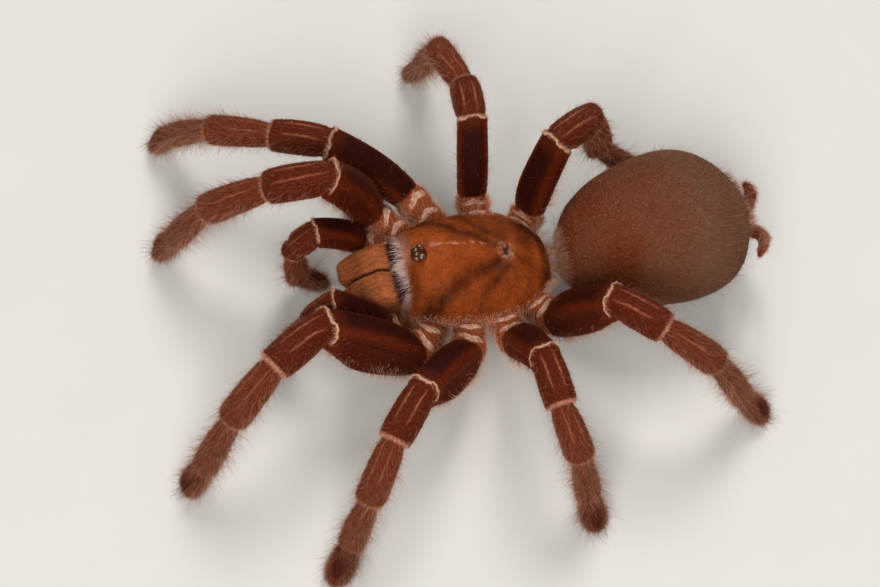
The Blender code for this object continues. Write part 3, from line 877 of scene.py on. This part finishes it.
def buildAbdomen():
    piece = modelBall("abdomen_skin", 120, 80, polesForward=True)
    x, y, z = places(piece).T
    slim = 1 - belly["coat"] / 17
    fuller = 1 + 0.04 * y * y
    fuller *= np.where(y < 0, np.maximum(1 - y * y, 0.02) ** -0.12, 1)     # blunt in front
    level = columns(
        x * (fuller + 0.17 * y) * belly["halfWidth"] * slim, (y * slim + 1) * belly["length"] / 2,
        z * (fuller + 0.09 * y) * belly["halfHeight"] * slim + belly["rise"] * (1 - y * y),
    )
    uneven = waves(level, 16.0, 2) * 0.18 + waves(level, 6.0, 4) * 0.07
    # below: the plate over the breathing slits, with the fold behind it
    fold = hump(level[:, 1] - 15.0 - 0.03 * level[:, 0] ** 2, 0.7) * ease(-z, 0.35, 0.8)
    level += unit(columns(x / 17, y / 22, z / 15)) * (uneven - 0.5 * fold)[:, None]
    shape(piece, onBelly(level))
    share = (y + 1) / 2
    # painted light: the flanks from the middle back and the underside are lighter, standing in for
    # light on the rims and fill below; the rest turns from brown in front to greyer behind, in soft
    # uneven patches
    rim = ease(np.abs(x), 0.55, 1.0)
    shade = 0.12 + 0.75 * ease(share, 0.12, 0.85) + 0.22 * rim * ease(share, 0.2, 0.6)
    shade += 0.16 * waves(level, 13.0, 7) + 0.2 * ease(-z, 0.2, 0.9)
    return bodySurface(
        piece, columns(0.25 * x, 1.0, -0.15), np.clip(shade, 0, 1), share=share,
        around=np.arctan2(x, z), height=z,
    )


trunk = {"halfWidth": 10.6, "halfLength": 14.9, "top": 12.9, "middle": 10.2, "bottom": 7.0}


def buildTrunk():
    # what lies under the shield, with the breastplate on its lower side
    piece = modelBall("trunk_skin", 72, 40)
    x, y, z = places(piece).T
    below = z < -0.2
    tall = np.where(z > 0, trunk["top"] - trunk["middle"], trunk["middle"] - trunk["bottom"])
    level = columns(
        x * trunk["halfWidth"] * (1 - 0.10 * y), y * trunk["halfLength"] - 0.6,
        trunk["middle"] + np.sign(z) * np.abs(z) ** 0.75 * tall,
    )
    # three pairs of small dimples by the breastplate's edge, and the lip's groove in front
    for dimpleY in (-6.0, 0.0, 6.0):
        apart = np.hypot(np.abs(level[:, 0]) - 6.0, level[:, 1] - dimpleY)
        level[:, 2] += 0.35 * hump(apart, 0.9) * below
    level[:, 2] += 0.6 * hump(level[:, 1] + 10.6, 0.5) * below
    shape(piece, prosoma + level * mm)
    shade = np.clip(0.45 + 0.3 * waves(level, 8.0, 9), 0, 1)
    return bodySurface(
        piece, (0, -1, 0), shade, share=(y + 1) / 2, around=np.arctan2(x, z), height=z
    )


def smoothLine(points, count):
    # a smooth line through a few points, in even steps of their number
    points = np.array(points, float)
    ends = np.vstack([2 * points[0] - points[1], points, 2 * points[-1] - points[-2]])
    steps = np.linspace(0, len(points) - 1, count)
    first = np.minimum(steps.astype(int), len(points) - 2)
    t = (steps - first)[:, None]
    a, b, c, d = (ends[first + shift] for shift in range(4))
    bend = (2 * a - 5 * b + 4 * c - d) * t ** 2 + (3 * b - a - 3 * c + d) * t ** 3
    return 0.5 * (2 * b + (c - a) * t + bend)


def bentTube(name, line, radii, around=16):
    # a tube that follows a smooth line; radii are (share of the line, radius in mm)
    count = len(line)
    sizes = np.interp(np.linspace(0, 1, count), *np.array(radii, float).T)
    tube = modelTube(name, [(number, size, size) for number, size in enumerate(sizes)], around)
    along, across, height = places(tube).T
    along = np.clip(along, 0, count - 1 - 1e-6)
    posed, lie = Course(line).carry(along, across * mm, height * mm, np.zeros(count))
    shape(tube, posed)
    return tube, lie, along / (count - 1), np.arctan2(across, height)


def buildPedicel():
    start = prosoma + np.array((0, 11.0, 9.4)) * mm
    end = prosoma + (np.array(belly["front"]) + (-0.4, 5.0, -3.0)) * mm
    line = smoothLine([start, (start + end) / 2 + up * 0.3 * mm, end], 8)
    tube, lie, share, around = bentTube("pedicel_skin", line, ((0, 2.4), (0.5, 2.0), (1, 2.6)))
    return bodySurface(tube, lie, 0.3, share=share, around=around)


spinneret = {
    # x, y past the abdomen's end, z
    "left": ((1.6, -4.0, -3.5), (3.6, 0.8, -2.2), (7.0, 1.8, -0.6), (11.2, -0.9, 0.8)),
    "right": ((-1.4, -4.0, -3.5), (-2.6, 1.0, -1.8), (-4.6, 2.2, 0.6), (-6.0, 1.0, 3.0)),
    "radii": (
        (0, 1.45), (0.36, 1.45), (0.42, 1.25), (0.47, 1.4), (0.66, 1.3), (0.71, 1.05), (0.75, 1.15),
        (0.93, 0.8), (0.98, 0.5), (1, 0.2),
    ),
}


def buildSpinneret(side):
    corners = [onBelly((x, belly["length"] + y, z))[0] for x, y, z in spinneret[side]]
    line = smoothLine(corners, 24)
    tube, lie, share, around = bentTube(f"spinneret_{side}_skin", line, spinneret["radii"], 14)
    along = 3.3 + share * 0.5      # coloured as a tibia is
    mark(tube, along=along, flank=0.4)
    return surface(tube, lie, along=along, around=around, share=share)


jaw = {
    "halfWidth": 3.75, "halfLength": 8.0, "halfHeight": 5.2, "lean": 20.0, "coat": 0.3,
    "place": (3.62, -22.6, 16.6), "gap": 0.10, "outerSquareness": 2.7, "innerSquareness": 7.0,
}


def buildChelicera(side, sign):
    piece = modelBall(f"chelicera_{side}_skin", 64, 44, polesForward=True)
    x, y, z = places(piece).T
    angle = np.arctan2(x, z)
    power = np.where(sign * x < 0, jaw["innerSquareness"], jaw["outerSquareness"])
    fuller = np.maximum(1e-3, 1 - y * y) ** -0.27 * np.minimum(1, 6 * (1 - y * y)) ** 0.2
    fuller *= squared(angle, power)
    level = columns(
        x * jaw["halfWidth"] * fuller * (1 + 0.05 * y), y * (jaw["halfLength"] - jaw["coat"]),
        z * (jaw["halfHeight"] + 0.4 * y) * fuller,
    )
    level[:, 2] -= np.maximum(level[:, 2], 0) * 0.36 * ease(y, 0.25, 0.6)  # room for the brow
    level += unit(level) * (waves(level, 5.0, 12) * 0.08)[:, None]
    placeX, placeY, placeZ = jaw["place"]
    outwards = np.maximum(sign * level[:, 0] + placeX, jaw["gap"])
    leanY, leanZ = turned(level[:, 1], level[:, 2], jaw["lean"])
    placed = columns(sign * outwards, leanY + placeY, leanZ + placeZ)
    shape(piece, prosoma + placed * mm)
    # fine dark streaks down its length, with painted shade inwards, in the gap between the jaws,
    # and under the brow's overhang
    inner = 1 - ease(outwards, 0.12, 0.5)
    streaks = np.sin(angle * 9 + 0.8 * np.sin(y * 5)) ** 8
    shade = 0.78 + 0.12 * waves(level, 6.0, 6) - 0.8 * inner - 0.25 * streaks
    # painted shade in the hollow under the brow
    shade = np.clip(shade - 1.2 * ease(y, 0.50, 0.72), 0, 1)
    lie = unit(np.array((0, -cos(radians(jaw["lean"])), -sin(radians(jaw["lean"])) - 0.2)))
    return bodySurface(piece, lie, shade, share=(1 - y) / 2, around=angle, inner=inner)


fang = {
    "points": (
        (3.5, -26.6, 11.2), (3.6, -27.2, 8.6), (3.3, -26.4, 6.6), (2.9, -23.6, 6.2),
        (2.6, -21.2, 6.9),
    ),
    "radii": ((0, 1.4), (0.25, 1.3), (0.5, 1.0), (0.8, 0.55), (1, 0.1)),
}


def buildFang(side, sign):
    corners = [prosoma + np.array((sign * x, y, z)) * mm for x, y, z in fang["points"]]
    return bentTube(f"fang_{side}_piece", smoothLine(corners, 20), fang["radii"], 14)[0]


eyes = {
    "mound": (1.85, 1.8, 1.7), "aside": -0.35,     # half sizes, mm
    # x, y, radius, how silvery; each sits on the mound's face
    "lenses": (
        (0.52, -0.62, 0.58, 0.25), (1.28, -0.72, 0.60, 0.6), (1.22, 0.42, 0.62, 0.35),
        (0.62, 0.80, 0.40, 0.6),
    ),
    "nearest": 1.3,                                # the left hind eye is the largest
}


def buildEyes():
    first, last = (np.array(corner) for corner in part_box("eye_tubercle"))
    middle = (first + last) / 2
    middle[2] = first[2] + 0.55 * mm
    middle[0] += eyes["aside"] * mm
    wide, deep, high = eyes["mound"]
    lenses = []
    for number, (x, y, radius, silver) in enumerate(eyes["lenses"]):
        z = high * sqrt(max(0.1, 1 - (x / wide) ** 2 - (y / deep) ** 2)) - 0.2 * radius
        near = eyes["nearest"] if number == 2 else 1
        lenses += [(x, y, z, radius * near, silver), (-x, y, z, radius, silver)]
    mound = modelBall("eye_mound", 64, 32)
    level = places(mound) * eyes["mound"]
    for *place, radius, _ in lenses:               # a raised socket round each lens
        apart = np.linalg.norm(level - place, axis=1)
        level += unit(level) * (0.16 * hump(apart - radius, 0.22))[:, None]
    shape(mound, middle + level * mm)
    balls = []
    for number, (x, y, z, radius, silver) in enumerate(lenses):
        # a lens: flatter behind, bulging outwards
        ball = modelBall(f"lens_{number}", 28, 18)
        out = unit(np.array((x, y, 1.1)))
        points = places(ball)
        points = points * (0.94 + 0.10 * np.maximum(points @ out, 0)[:, None])
        shape(ball, middle + ((x, y, z) - out * 0.12 + points * radius) * mm)
        mark(ball, shade=silver * (1 - 0.6 * ease(points @ out, 0.6, 0.95)))
        balls.append(ball)
    shade = 0.45 * ease(-level[:, 2], -0.9, -0.2) + 0.04 * waves(level, 1.5, 21)
    planX, planY, planZ = level.T
    ground = bodySurface(
        mound, (0, -1, 0.2), np.clip(shade, 0, 1), planX=planX, planY=planY, planZ=planZ
    )
    return ground, joinPieces("eyes", balls)


def painted(ground, paint):
    ground["piece"].data.materials.append(paint)
    return ground["piece"]


print("limbs")
limbSkinPaint, limbHairPaint = limbPaint("limb_skin", False), limbPaint("limb_coat", True)
limbGrounds, skinPieces = {}, []
skinNodes = ["abdomen", "sternum_coxae", "pedicel", "spinneret_left", "spinneret_right"]
for kind in segments:
    straight = modelStraightLimb(kind)
    for side in sideSigns:
        name = f"{kind}_{side}"
        limbGrounds[name] = poseLimb(straight, name, kind, side)
        skinPieces.append(painted(limbGrounds[name], limbSkinPaint))
        skinNodes += [f"{name}_{segment}" for segment in segments[kind]]
    bpy.data.objects.remove(straight)

print("body")
abdomenGround, trunkGround, pedicelGround = buildAbdomen(), buildTrunk(), buildPedicel()
skinPieces.append(painted(abdomenGround, bodyPaint("abdomen_skin", "abdomen", False, 0.7)))
undersidePaint = bodyPaint("underside_skin", "underside", False, 0.6)
skinPieces += [painted(ground, undersidePaint) for ground in (trunkGround, pedicelGround)]
spinneretGrounds = [buildSpinneret(side) for side in sideSigns]
skinPieces += [painted(ground, limbSkinPaint) for ground in spinneretGrounds]

carapaceGround = buildCarapace()
carapacePaint = bodyPaint("carapace_plate", "carapace", False, 0.5, 0.35)
settle(painted(carapaceGround, carapacePaint), "carapace", "carapace")

cheliceraPaint, fangFinish = bodyPaint("chelicera_skin", "chelicera", False, 0.5), fangPaint()
cheliceraGrounds = []
for side, sign in sideSigns.items():
    cheliceraGrounds.append(buildChelicera(side, sign))
    settle(painted(cheliceraGrounds[-1], cheliceraPaint), "chelicera", f"chelicera_{side}")
    piece = buildFang(side, sign)
    piece.data.materials.append(fangFinish)
    settle(piece, "fang", f"fang_{side}")

moundGround, eyesPiece = buildEyes()
moundPaint = bodyPaint("eye_mound", "carapace", False, 0.5)
settle(painted(moundGround, moundPaint), "carapace", "eye_tubercle")
eyesPiece.data.materials.append(eyePaint())
settle(eyesPiece, "eye")

skin = joinPieces("skin", skinPieces)
settle(skin, "leg", *skinNodes)
print(f"skin: {len(skin.data.polygons)} faces")


# the coat: each table has per segment, from coxa to tarsus, how many hairs to the square
# millimetre, their length and width in mm and their lift from the skin in degrees
velvet = {
    "perSquare": (7.0, 8.5, 9.0, 10.0, 11.0, 11.0), "length": (1.1, 0.7, 0.85, 1.05, 1.45, 1.3),
    "width": (0.13, 0.15, 0.14, 0.12, 0.105, 0.105), "lift": (26, 22, 24, 28, 33, 33),
}
fuzz = {                 # soft pale hairs between the short coat and the bristles
    "perSquare": (7.5, 0.4, 2.0, 3.8, 4.8, 4.8), "length": (2.2, 1.0, 1.0, 1.5, 2.1, 1.8),
    "width": 0.052, "lift": (48, 44, 54, 60, 62, 62), "pale": 0.85,
}
setae = {                # long bristles
    "perSquare": (0.5, 0.03, 0.2, 0.6, 1.0, 1.0), "length": (2.6, 1.7, 2.2, 3.3, 4.5, 4.2),
    "width": 0.07, "lift": (42, 55, 42, 48, 54, 54), "pale": 0.75,
}
hair = {                 # the same for other kinds of hair, then droop and spread
    "footPad": (13.0, 1.5, 0.075, 60, 12, 0.4), "ring": (34.0, 0.75, 0.09, 34, 10, 0.4),
    "rim": (18.0, 0.95, 0.08, 40, 12, 0.4), "eyes": (26.0, 0.42, 0.07, 26, 10, 0.5),
    "upper": (15.5, 0.72, 0.108, 26, 12, 0.4), "lower": (9.5, 0.72, 0.108, 26, 12, 0.4),
    "bristle": (0.6, 1.15, 0.055, 42, 20, 0.4), "longBristle": (0.16, 3.2, 0.05, 62, 24, 0.4),
    "waist": (14.0, 1.5, 0.062, 44, 24, 0.5), "chelicera": (15.0, 0.95, 0.12, 20, 10, 0.15),
    "pedicel": (11.0, 2.6, 0.09, 55, 20, 0.5), "spinneret": (9.0, 1.1, 0.09, 32, 12, 0.3),
    "comb": (6.0, 1.7, 0.08, 24, 6, 0.12), "tailComb": (6.0, 2.7, 0.075, 58, 0, 0.2),
}


def limbRoots(kinds, perSquare, seed, chance):
    # roots on the limbs of these kinds; each limb has its column of the unwrap
    grounds = [limbGrounds[f"{kind}_{side}"] for kind in kinds for side in sideSigns]
    sizes = [len(ground["places"]) for ground in grounds]
    starts = np.cumsum(sizes) - sizes

    def together(parts, names):
        return {name: np.concatenate([part[name] for part in parts]) for name in names}
    joined = together(grounds, ("places", "normals", "lie"))
    joined["triangles"] = np.concatenate(
        [ground["triangles"] + start for ground, start in zip(grounds, starts)]
    )
    joined["marks"] = together([ground["marks"] for ground in grounds], ("along", "around"))
    joined["marks"]["number"] = np.repeat(np.arange(len(grounds), dtype=float), sizes)

    def weighed(middles):
        return chance(middles["along"], np.abs(halfTurns(middles["around"])) / pi)
    roots = scatter(joined, perSquare, seed, weighed)
    roots["flank"] = np.abs(halfTurns(roots["around"])) / pi
    number = roots["number"].round()
    return unwrapped(roots, turnShare(roots), roots["along"] / 6, number, len(grounds))


def bareSpot(along, flank):
    # 1 inside the bare oval on top of each foot
    middle, halfLength, halfWidth = limbMarkings["baldSpot"]
    return 1 - ease(((along - middle) / halfLength) ** 2 + (flank / halfWidth) ** 2, 0.7, 1.2)


def limbVelvet(kinds, seed, low, high):
    def chance(along, flank):
        crescent = band(along, 0.60, 0.70, 0.02) + band(along, 0.90, 1.0, 0.02)
        thin = np.maximum(bareSpot(along, flank) * 0.95, 0.6 * crescent * (flank < 0.28))
        wanted = (along > max(low, 0.15)) & (along < high)
        return bySegment(velvet["perSquare"], along) * (1 - thin) * wanted
    roots = limbRoots(kinds, 1.0, seed, chance)
    along, flank = roots["along"], roots["flank"]
    ring = band(along, 1.93, 2.02, 0.01)
    crescent = (band(along, 0.60, 0.69, 0.03) + band(along, 0.90, 1.0, 0.03)) * (flank < 0.3)
    hip = ease(flank, 0.25, 0.4) * (along < 1.02)
    length = bySegment(velvet["length"], along) * (1 - 0.3 * ring) * (1 - 0.5 * crescent)
    length = length * (1 + 0.7 * hip)
    lift = bySegment(velvet["lift"], along) + 12 * hip
    pale = 0.6 * hip + 0.02 * (along > 2.02) + 0.14 * ease(along, 2.4, 4.8)
    clump(roots, roots["around"] * 6.0 + roots["number"] * 7, along * 5.5, seed)
    return grow(roots, length, bySegment(velvet["width"], along), lift, 14, 0.2, pale=pale)


def limbFuzz(kinds, seed, low, high):
    def chance(along, flank):
        wanted = (along > max(low, 0.12)) & (along < high)
        aside = 1 - (along < 1.1) * 0.75 * (1 - ease(flank, 0.2, 0.34))
        bare = np.maximum(bareSpot(along, flank), bareSpot(along + 0.12, flank))
        return bySegment(fuzz["perSquare"], along) * (1 - bare) * aside * wanted
    roots = limbRoots(kinds, 1.0, seed, chance)
    along, flank = roots["along"], roots["flank"]
    length = bySegment(fuzz["length"], along)
    lift = bySegment(fuzz["lift"], along) + 8 * ease(flank, 0.5, 0.8)
    pale = np.where(along < 1.06, 1.0, fuzz["pale"] * (0.6 + 0.4 * ease(flank, 0.2, 0.45)))
    return grow(roots, length, fuzz["width"], lift, 20, 0.45, pale=pale)


def longSetae(kinds, seed):
    def chance(along, flank):
        below = 1 + (0.4 + 30.0 * band(along, 1.1, 1.95, 0.05)) * ease(flank, 0.64, 0.82)
        return bySegment(setae["perSquare"], along) * below * (1 - bareSpot(along, flank))
    roots = limbRoots(kinds, 1.0, seed, chance)
    along, flank = roots["along"], roots["flank"]
    lift = bySegment(setae["lift"], along) + 28 * ease(flank, 0.55, 0.85)
    below = band(along, 1.05, 1.98, 0.05) * ease(flank, 0.5, 0.7)
    length = bySegment(setae["length"], along) * (1 + 0.25 * (roots["tone"] > 0.85)) + 0.5 * below
    pale = setae["pale"] * (0.4 + 0.6 * ease(flank, 0.2, 0.45)) + 0.5 * below
    return grow(roots, length, setae["width"], lift, 18, 0.35, 2, 0.05, pale)


def footPad(kinds, seed):
    # the dense brush round the sole of each foot
    def chance(along, flank):
        sole = band(flank, 0.40, 0.80, 0.06) * (0.35 + 0.65 * ease(along, 4.9, 5.2))
        return ease(along, 4.35, 4.6) * sole
    perSquare, *form = hair["footPad"]
    roots = limbRoots(kinds, perSquare, seed, chance)
    clump(roots, roots["around"] * 7 + roots["number"] * 9, roots["along"] * 20, seed)
    return grow(roots, *form, pale=0.4)


def ringHairs(kinds, seed):
    # the pale hairs of the ring at the knee, standing a little
    def chance(along, flank):
        return band(along, 1.955, 1.99, 0.01) * (1 - ease(flank, 0.45, 0.6))
    perSquare, *form = hair["ring"]
    roots = limbRoots(kinds, perSquare, seed, chance)
    patch = clumps(roots["around"] * 7, roots["along"] * 40, seed)
    return grow(roots, *form, pale=0.3 + 0.7 * patch)


def rimHairs(kinds, seed):
    # a paler rim at the far end of the next segments
    def chance(along, flank):
        rims = band(along, 2.93, 2.975, 0.012) + band(along, 3.925, 3.97, 0.012) * 0.9
        return rims * (1 - 0.6 * ease(flank, 0.5, 0.7))
    perSquare, *form = hair["rim"]
    return grow(limbRoots(kinds, perSquare, seed, chance), *form, pale=0.95)


print("coat of the limbs")
for number, kind in enumerate(segments):
    tufts = [limbVelvet([kind], 100 + number, 2.0, 6.1), limbFuzz([kind], 112 + number, 2.0, 6.1)]
    tufts += [footPad([kind], 123 + number), rimHairs([kind], 180 + number)]
    coatPiece(f"coat_{kind}", tufts, limbHairPaint, "leg")
halves = {"front": (("leg1", "leg2", "palp"), 106, 120), "back": (("leg3", "leg4"), 107, 121)}
for half, (kinds, seed, _) in halves.items():
    tufts = [limbVelvet(kinds, seed, 1.0, 2.0), ringHairs(kinds, seed + 20)]
    coatPiece(f"coat_femora_{half}", tufts, limbHairPaint, "femur")
tufts = [limbVelvet(segments, 108, 0.0, 1.0), limbFuzz(segments, 109, 0.0, 1.04)]
coatPiece("coat_hips", tufts, limbHairPaint, "leg")
for half, (kinds, _, seed) in halves.items():
    coatPiece(f"coat_setae_{half}", [longSetae(kinds, seed)], limbHairPaint, "leg")

fringe = {               # lengths in mm; the margin's, beside and behind, and the brow's
    "velvet": 0.72, "side": 0.8, "behind": 3.2, "brow": 2.7,
    "perSquare": {"velvet": 22.0, "margin": 27.0, "brow": 52.0}, "width": 0.072,
}


def shieldRoots(kind, seed, chance):
    roots = scatter(carapaceGround, fringe["perSquare"][kind], seed, chance)
    return unwrapped(roots, roots["planX"] / 30 + 0.5, roots["planY"] / 38 + 0.5)


def shieldVelvet():
    roots = shieldRoots("velvet", 130, lambda middles: middles["top"] > 0.9)
    x, y = roots["planX"], roots["planY"]
    length = fringe["velvet"] - 0.3 * hump(np.hypot(x, y + 13.2), 4)
    back = y - shield["fovea"][0] - 2.0
    clump(roots, np.arctan2(x, back) * 26, np.hypot(x, back) / 1.5, 133)
    return grow(roots, length, 0.15, 22, 10, 0.3, pale=roots["paleness"])


def marginFringe():
    # pale hairs round the shield's edge, longest behind
    roots = shieldRoots("margin", 131, lambda middles: (
        (middles["top"] > 0.3) * ease(middles["edge"], 0.6, 0.9) * (middles["brow"] < 0.3)
    ))
    behind = ease(roots["planY"], 10, 14)
    length = fringe["side"] + (fringe["behind"] - fringe["side"]) * behind
    return grow(roots, length, fringe["width"], 30 + 24 * behind, 24, 0.35, 2, 0.1, 1.15)


def browFringe():
    # the thick pale brow in front, combed forwards and down over the jaws
    roots = shieldRoots("brow", 132, lambda middles: (middles["top"] > 0.3) * middles["brow"])
    x, facing = roots["planX"], np.clip(-roots["normals"][:, 1], 0, 1)
    middle = ease(x, -10.5, -3.5) * (1 - ease(x, 4.5, 9.0))
    length = fringe["brow"] * (0.55 + 0.45 * middle)
    clump(roots, x * 2.2, roots["planY"] / 3, 135, 0.8, 0.8)
    pale = 1.35 * middle * (0.15 + 0.85 * ease(facing, 0.15, 0.55))
    return grow(roots, length, fringe["width"], 14 + 52 * facing, 26, 0.3, 2, 0.12, pale)


def bodyRoots(ground, kind, seed, chance=lambda middles: 1.0, column=0, count=1):
    # roots of one kind of hair on a surface that has a turn and a share
    roots = scatter(ground, hair[kind][0], seed, chance)
    return unwrapped(roots, turnShare(roots), roots["share"], column, count)


def body(roots, kind, *more, **settings):
    return grow(roots, *hair[kind][1:], *more, **settings)


print("coat of the body")
carapaceHairPaint = bodyPaint("carapace_coat", "carapace", True, 0.5)
coatPiece("coat_carapace", [shieldVelvet()], carapaceHairPaint, "carapace")
coatPiece("coat_margin", [marginFringe()], carapaceHairPaint, "carapace")
coatPiece("coat_brow", [browFringe()], bodyPaint("brow_coat", "brow", True, 0.5), "carapace")
roots = scatter(
    moundGround, hair["eyes"][0], 136, lambda middles: np.abs(middles["planZ"] - 0.45) < 0.75
)
unwrapped(roots, roots["planX"] / 4.4 + 0.5, roots["planY"] / 4.4 + 0.5)
coatPiece("coat_eyes", [body(roots, "eyes")], carapaceHairPaint, "carapace")

abdomenHairPaint = bodyPaint("abdomen_coat", "abdomen", True, 0.6)
for half, sign, seed in (("upper", 1, 140), ("lower", -1, 141)):
    roots = bodyRoots(abdomenGround, half, seed, lambda middles: middles["height"] * sign > 0)
    flecks = np.where(roots["tone"] > 0.84, 0.5, 0.0)
    clump(roots, roots["around"] * 30, roots["share"] * 44, seed, 0.9, 0.6)
    tufts = [body(roots, half, pale=flecks)]
    coatPiece(f"coat_abdomen_{half}", tufts, abdomenHairPaint, "abdomen")
tufts = [
    body(bodyRoots(abdomenGround, "bristle", 142), "bristle", 2, 0.05, 0.3),
    body(bodyRoots(abdomenGround, "longBristle", 144), "longBristle", 2, 0.05, 0.4),
]
coatPiece("coat_abdomen_long", tufts, abdomenHairPaint, "abdomen")

# pale hairs of the abdomen's front end, over the waist
roots = bodyRoots(
    abdomenGround, "waist", 143, lambda middles: 1 - ease(middles["share"], 0.0, 0.05)
)
roots["lie"] = -roots["lie"]
coatPiece("coat_waist", [body(roots, "waist", 2, 0.1, 0.8)], abdomenHairPaint, "abdomen")

tufts = []
for number, ground in enumerate(cheliceraGrounds):
    roots = bodyRoots(
        ground, "chelicera", 150 + number, lambda middles: 1 - 0.9 * (middles["inner"] > 0.9),
        number, 2,
    )
    clump(roots, roots["around"] * 17, roots["share"] * 4, 152 + number, 0.7, 1.1)
    tufts.append(body(roots, "chelicera"))
cheliceraHairPaint = bodyPaint("chelicera_coat", "chelicera", True, 0.5)
coatPiece("coat_chelicerae", tufts, cheliceraHairPaint, "chelicera")

roots = scatter(trunkGround, 6.0, 160)
unwrapped(roots, turnShare(roots), roots["share"], 0, 2)
upper = ease(roots["height"], -0.1, 0.3)
tufts = [grow(roots, 1.4 + 1.2 * upper, 0.10, 30 + 25 * upper, 15, 0.35, pale=0.95 * upper)]
roots = bodyRoots(pedicelGround, "pedicel", 161, column=1, count=2)
tufts.append(body(roots, "pedicel", 2, 0.1, 0.95))
undersideHairPaint = bodyPaint("underside_coat", "underside", True, 0.6)
coatPiece("coat_underside", tufts, undersideHairPaint, "underside")


def tailEnd(middles):
    # where long hairs of the abdomen's far end reach back across the spinnerets
    aside = (middles["places"][:, 0] - onBelly((0, belly["length"], 0))[0][0]) / mm
    low = band(middles["height"], -0.45, 0.30, 0.1)
    return band(aside, -9.5, 5.0, 1.0) * low * (middles["share"] > 0.9)


backwards = np.array((0.0, 1.0, 0.0))
tufts = []
for number, ground in enumerate(spinneretGrounds):
    roots = bodyRoots(ground, "spinneret", 170 + number, column=number, count=3)
    tufts.append(body(roots, "spinneret"))
    # a comb of long hairs across it, away from the abdomen
    roots = bodyRoots(
        ground, "comb", 172 + number, lambda middles: middles["normals"][:, 2] > 0, number, 3
    )
    roots["lie"] = backwards
    tufts.append(body(roots, "comb", 2, 0.0, 0.75))
roots = bodyRoots(abdomenGround, "tailComb", 145, tailEnd)
unwrapped(roots, roots["around"] / 7 + 0.5, roots["share"] * 8 - 7.1, 2, 3)
roots.update(lie=backwards, along=3.4, flank=0.4)
tufts.append(body(roots, "tailComb", 2, 0.02, 0.45))
coatPiece("coat_spinnerets", tufts, limbHairPaint, "leg")

# floor, light and camera
studio = {
    "floor": srgb(190, 186, 180), "sky": (1.0, 0.99, 0.97, 1), "skyStrength": 0.32,
    # place, side of the square, watts
    "key": ((-0.85, 0.40, 1.25), 0.62, 16.5), "fill": ((1.0, -0.40, 1.10), 1.2, 29.0),
}
view = {
    "azimuth": 75.0, "elevation": 64.0, "roll": 2.4, "distance": 0.5, "aside": -7.96, "lens": 91.2,
}


def softLight(name):
    light = bpy.data.lights.new(name, "AREA")
    place, light.size, light.energy = studio[name]
    lamp = bpy.data.objects.new(name, light)
    bpy.context.scene.collection.objects.link(lamp)
    lamp.location = place
    lamp.rotation_mode = "QUATERNION"
    lamp.rotation_quaternion = (-lamp.location).to_track_quat("-Z", "Y")


def buildStudio():
    selectOnly()
    bpy.ops.mesh.primitive_plane_add(size=6, location=(0, 0, 0))
    floor = namePiece("floor")
    paint = Paint("floor", Roughness=0.8)
    colour = paint.scaled(studio["floor"], 0.97 + 0.04 * paint.noise(60.0, 4.0))
    floor.data.materials.append(paint.feed(Base_Color=colour))
    softLight("key")
    softLight("fill")
    world = bpy.data.worlds.new("studio")
    bpy.context.scene.world = world
    bpy.context.scene.view_settings.view_transform = "Standard"
    world.use_nodes = True
    sky = world.node_tree.nodes["Background"].inputs
    sky["Color"].default_value, sky["Strength"].default_value = studio["sky"], studio["skyStrength"]


def buildCamera():
    azimuth, elevation = radians(view["azimuth"]), radians(view["elevation"])
    right = np.array((cos(azimuth), sin(azimuth), 0.0))
    back = np.array((sin(azimuth), -cos(azimuth), 0.0)) * cos(elevation) + up * sin(elevation)
    turnedAbove, turnedRight = turned(np.cross(back, right), right, view["roll"])
    data = bpy.data.cameras.new("camera")
    data.lens, data.sensor_width = view["lens"], 36.0
    camera = bpy.data.objects.new("camera", data)
    bpy.context.scene.collection.objects.link(camera)
    place = prosoma + back * view["distance"] + right * view["aside"] * mm
    matrix = np.eye(4)
    matrix[:3] = columns(turnedRight, turnedAbove, back, place)
    camera.matrix_world = Matrix([tuple(row) for row in matrix])
    bpy.context.scene.camera = camera


print("studio")
buildStudio()
buildCamera()
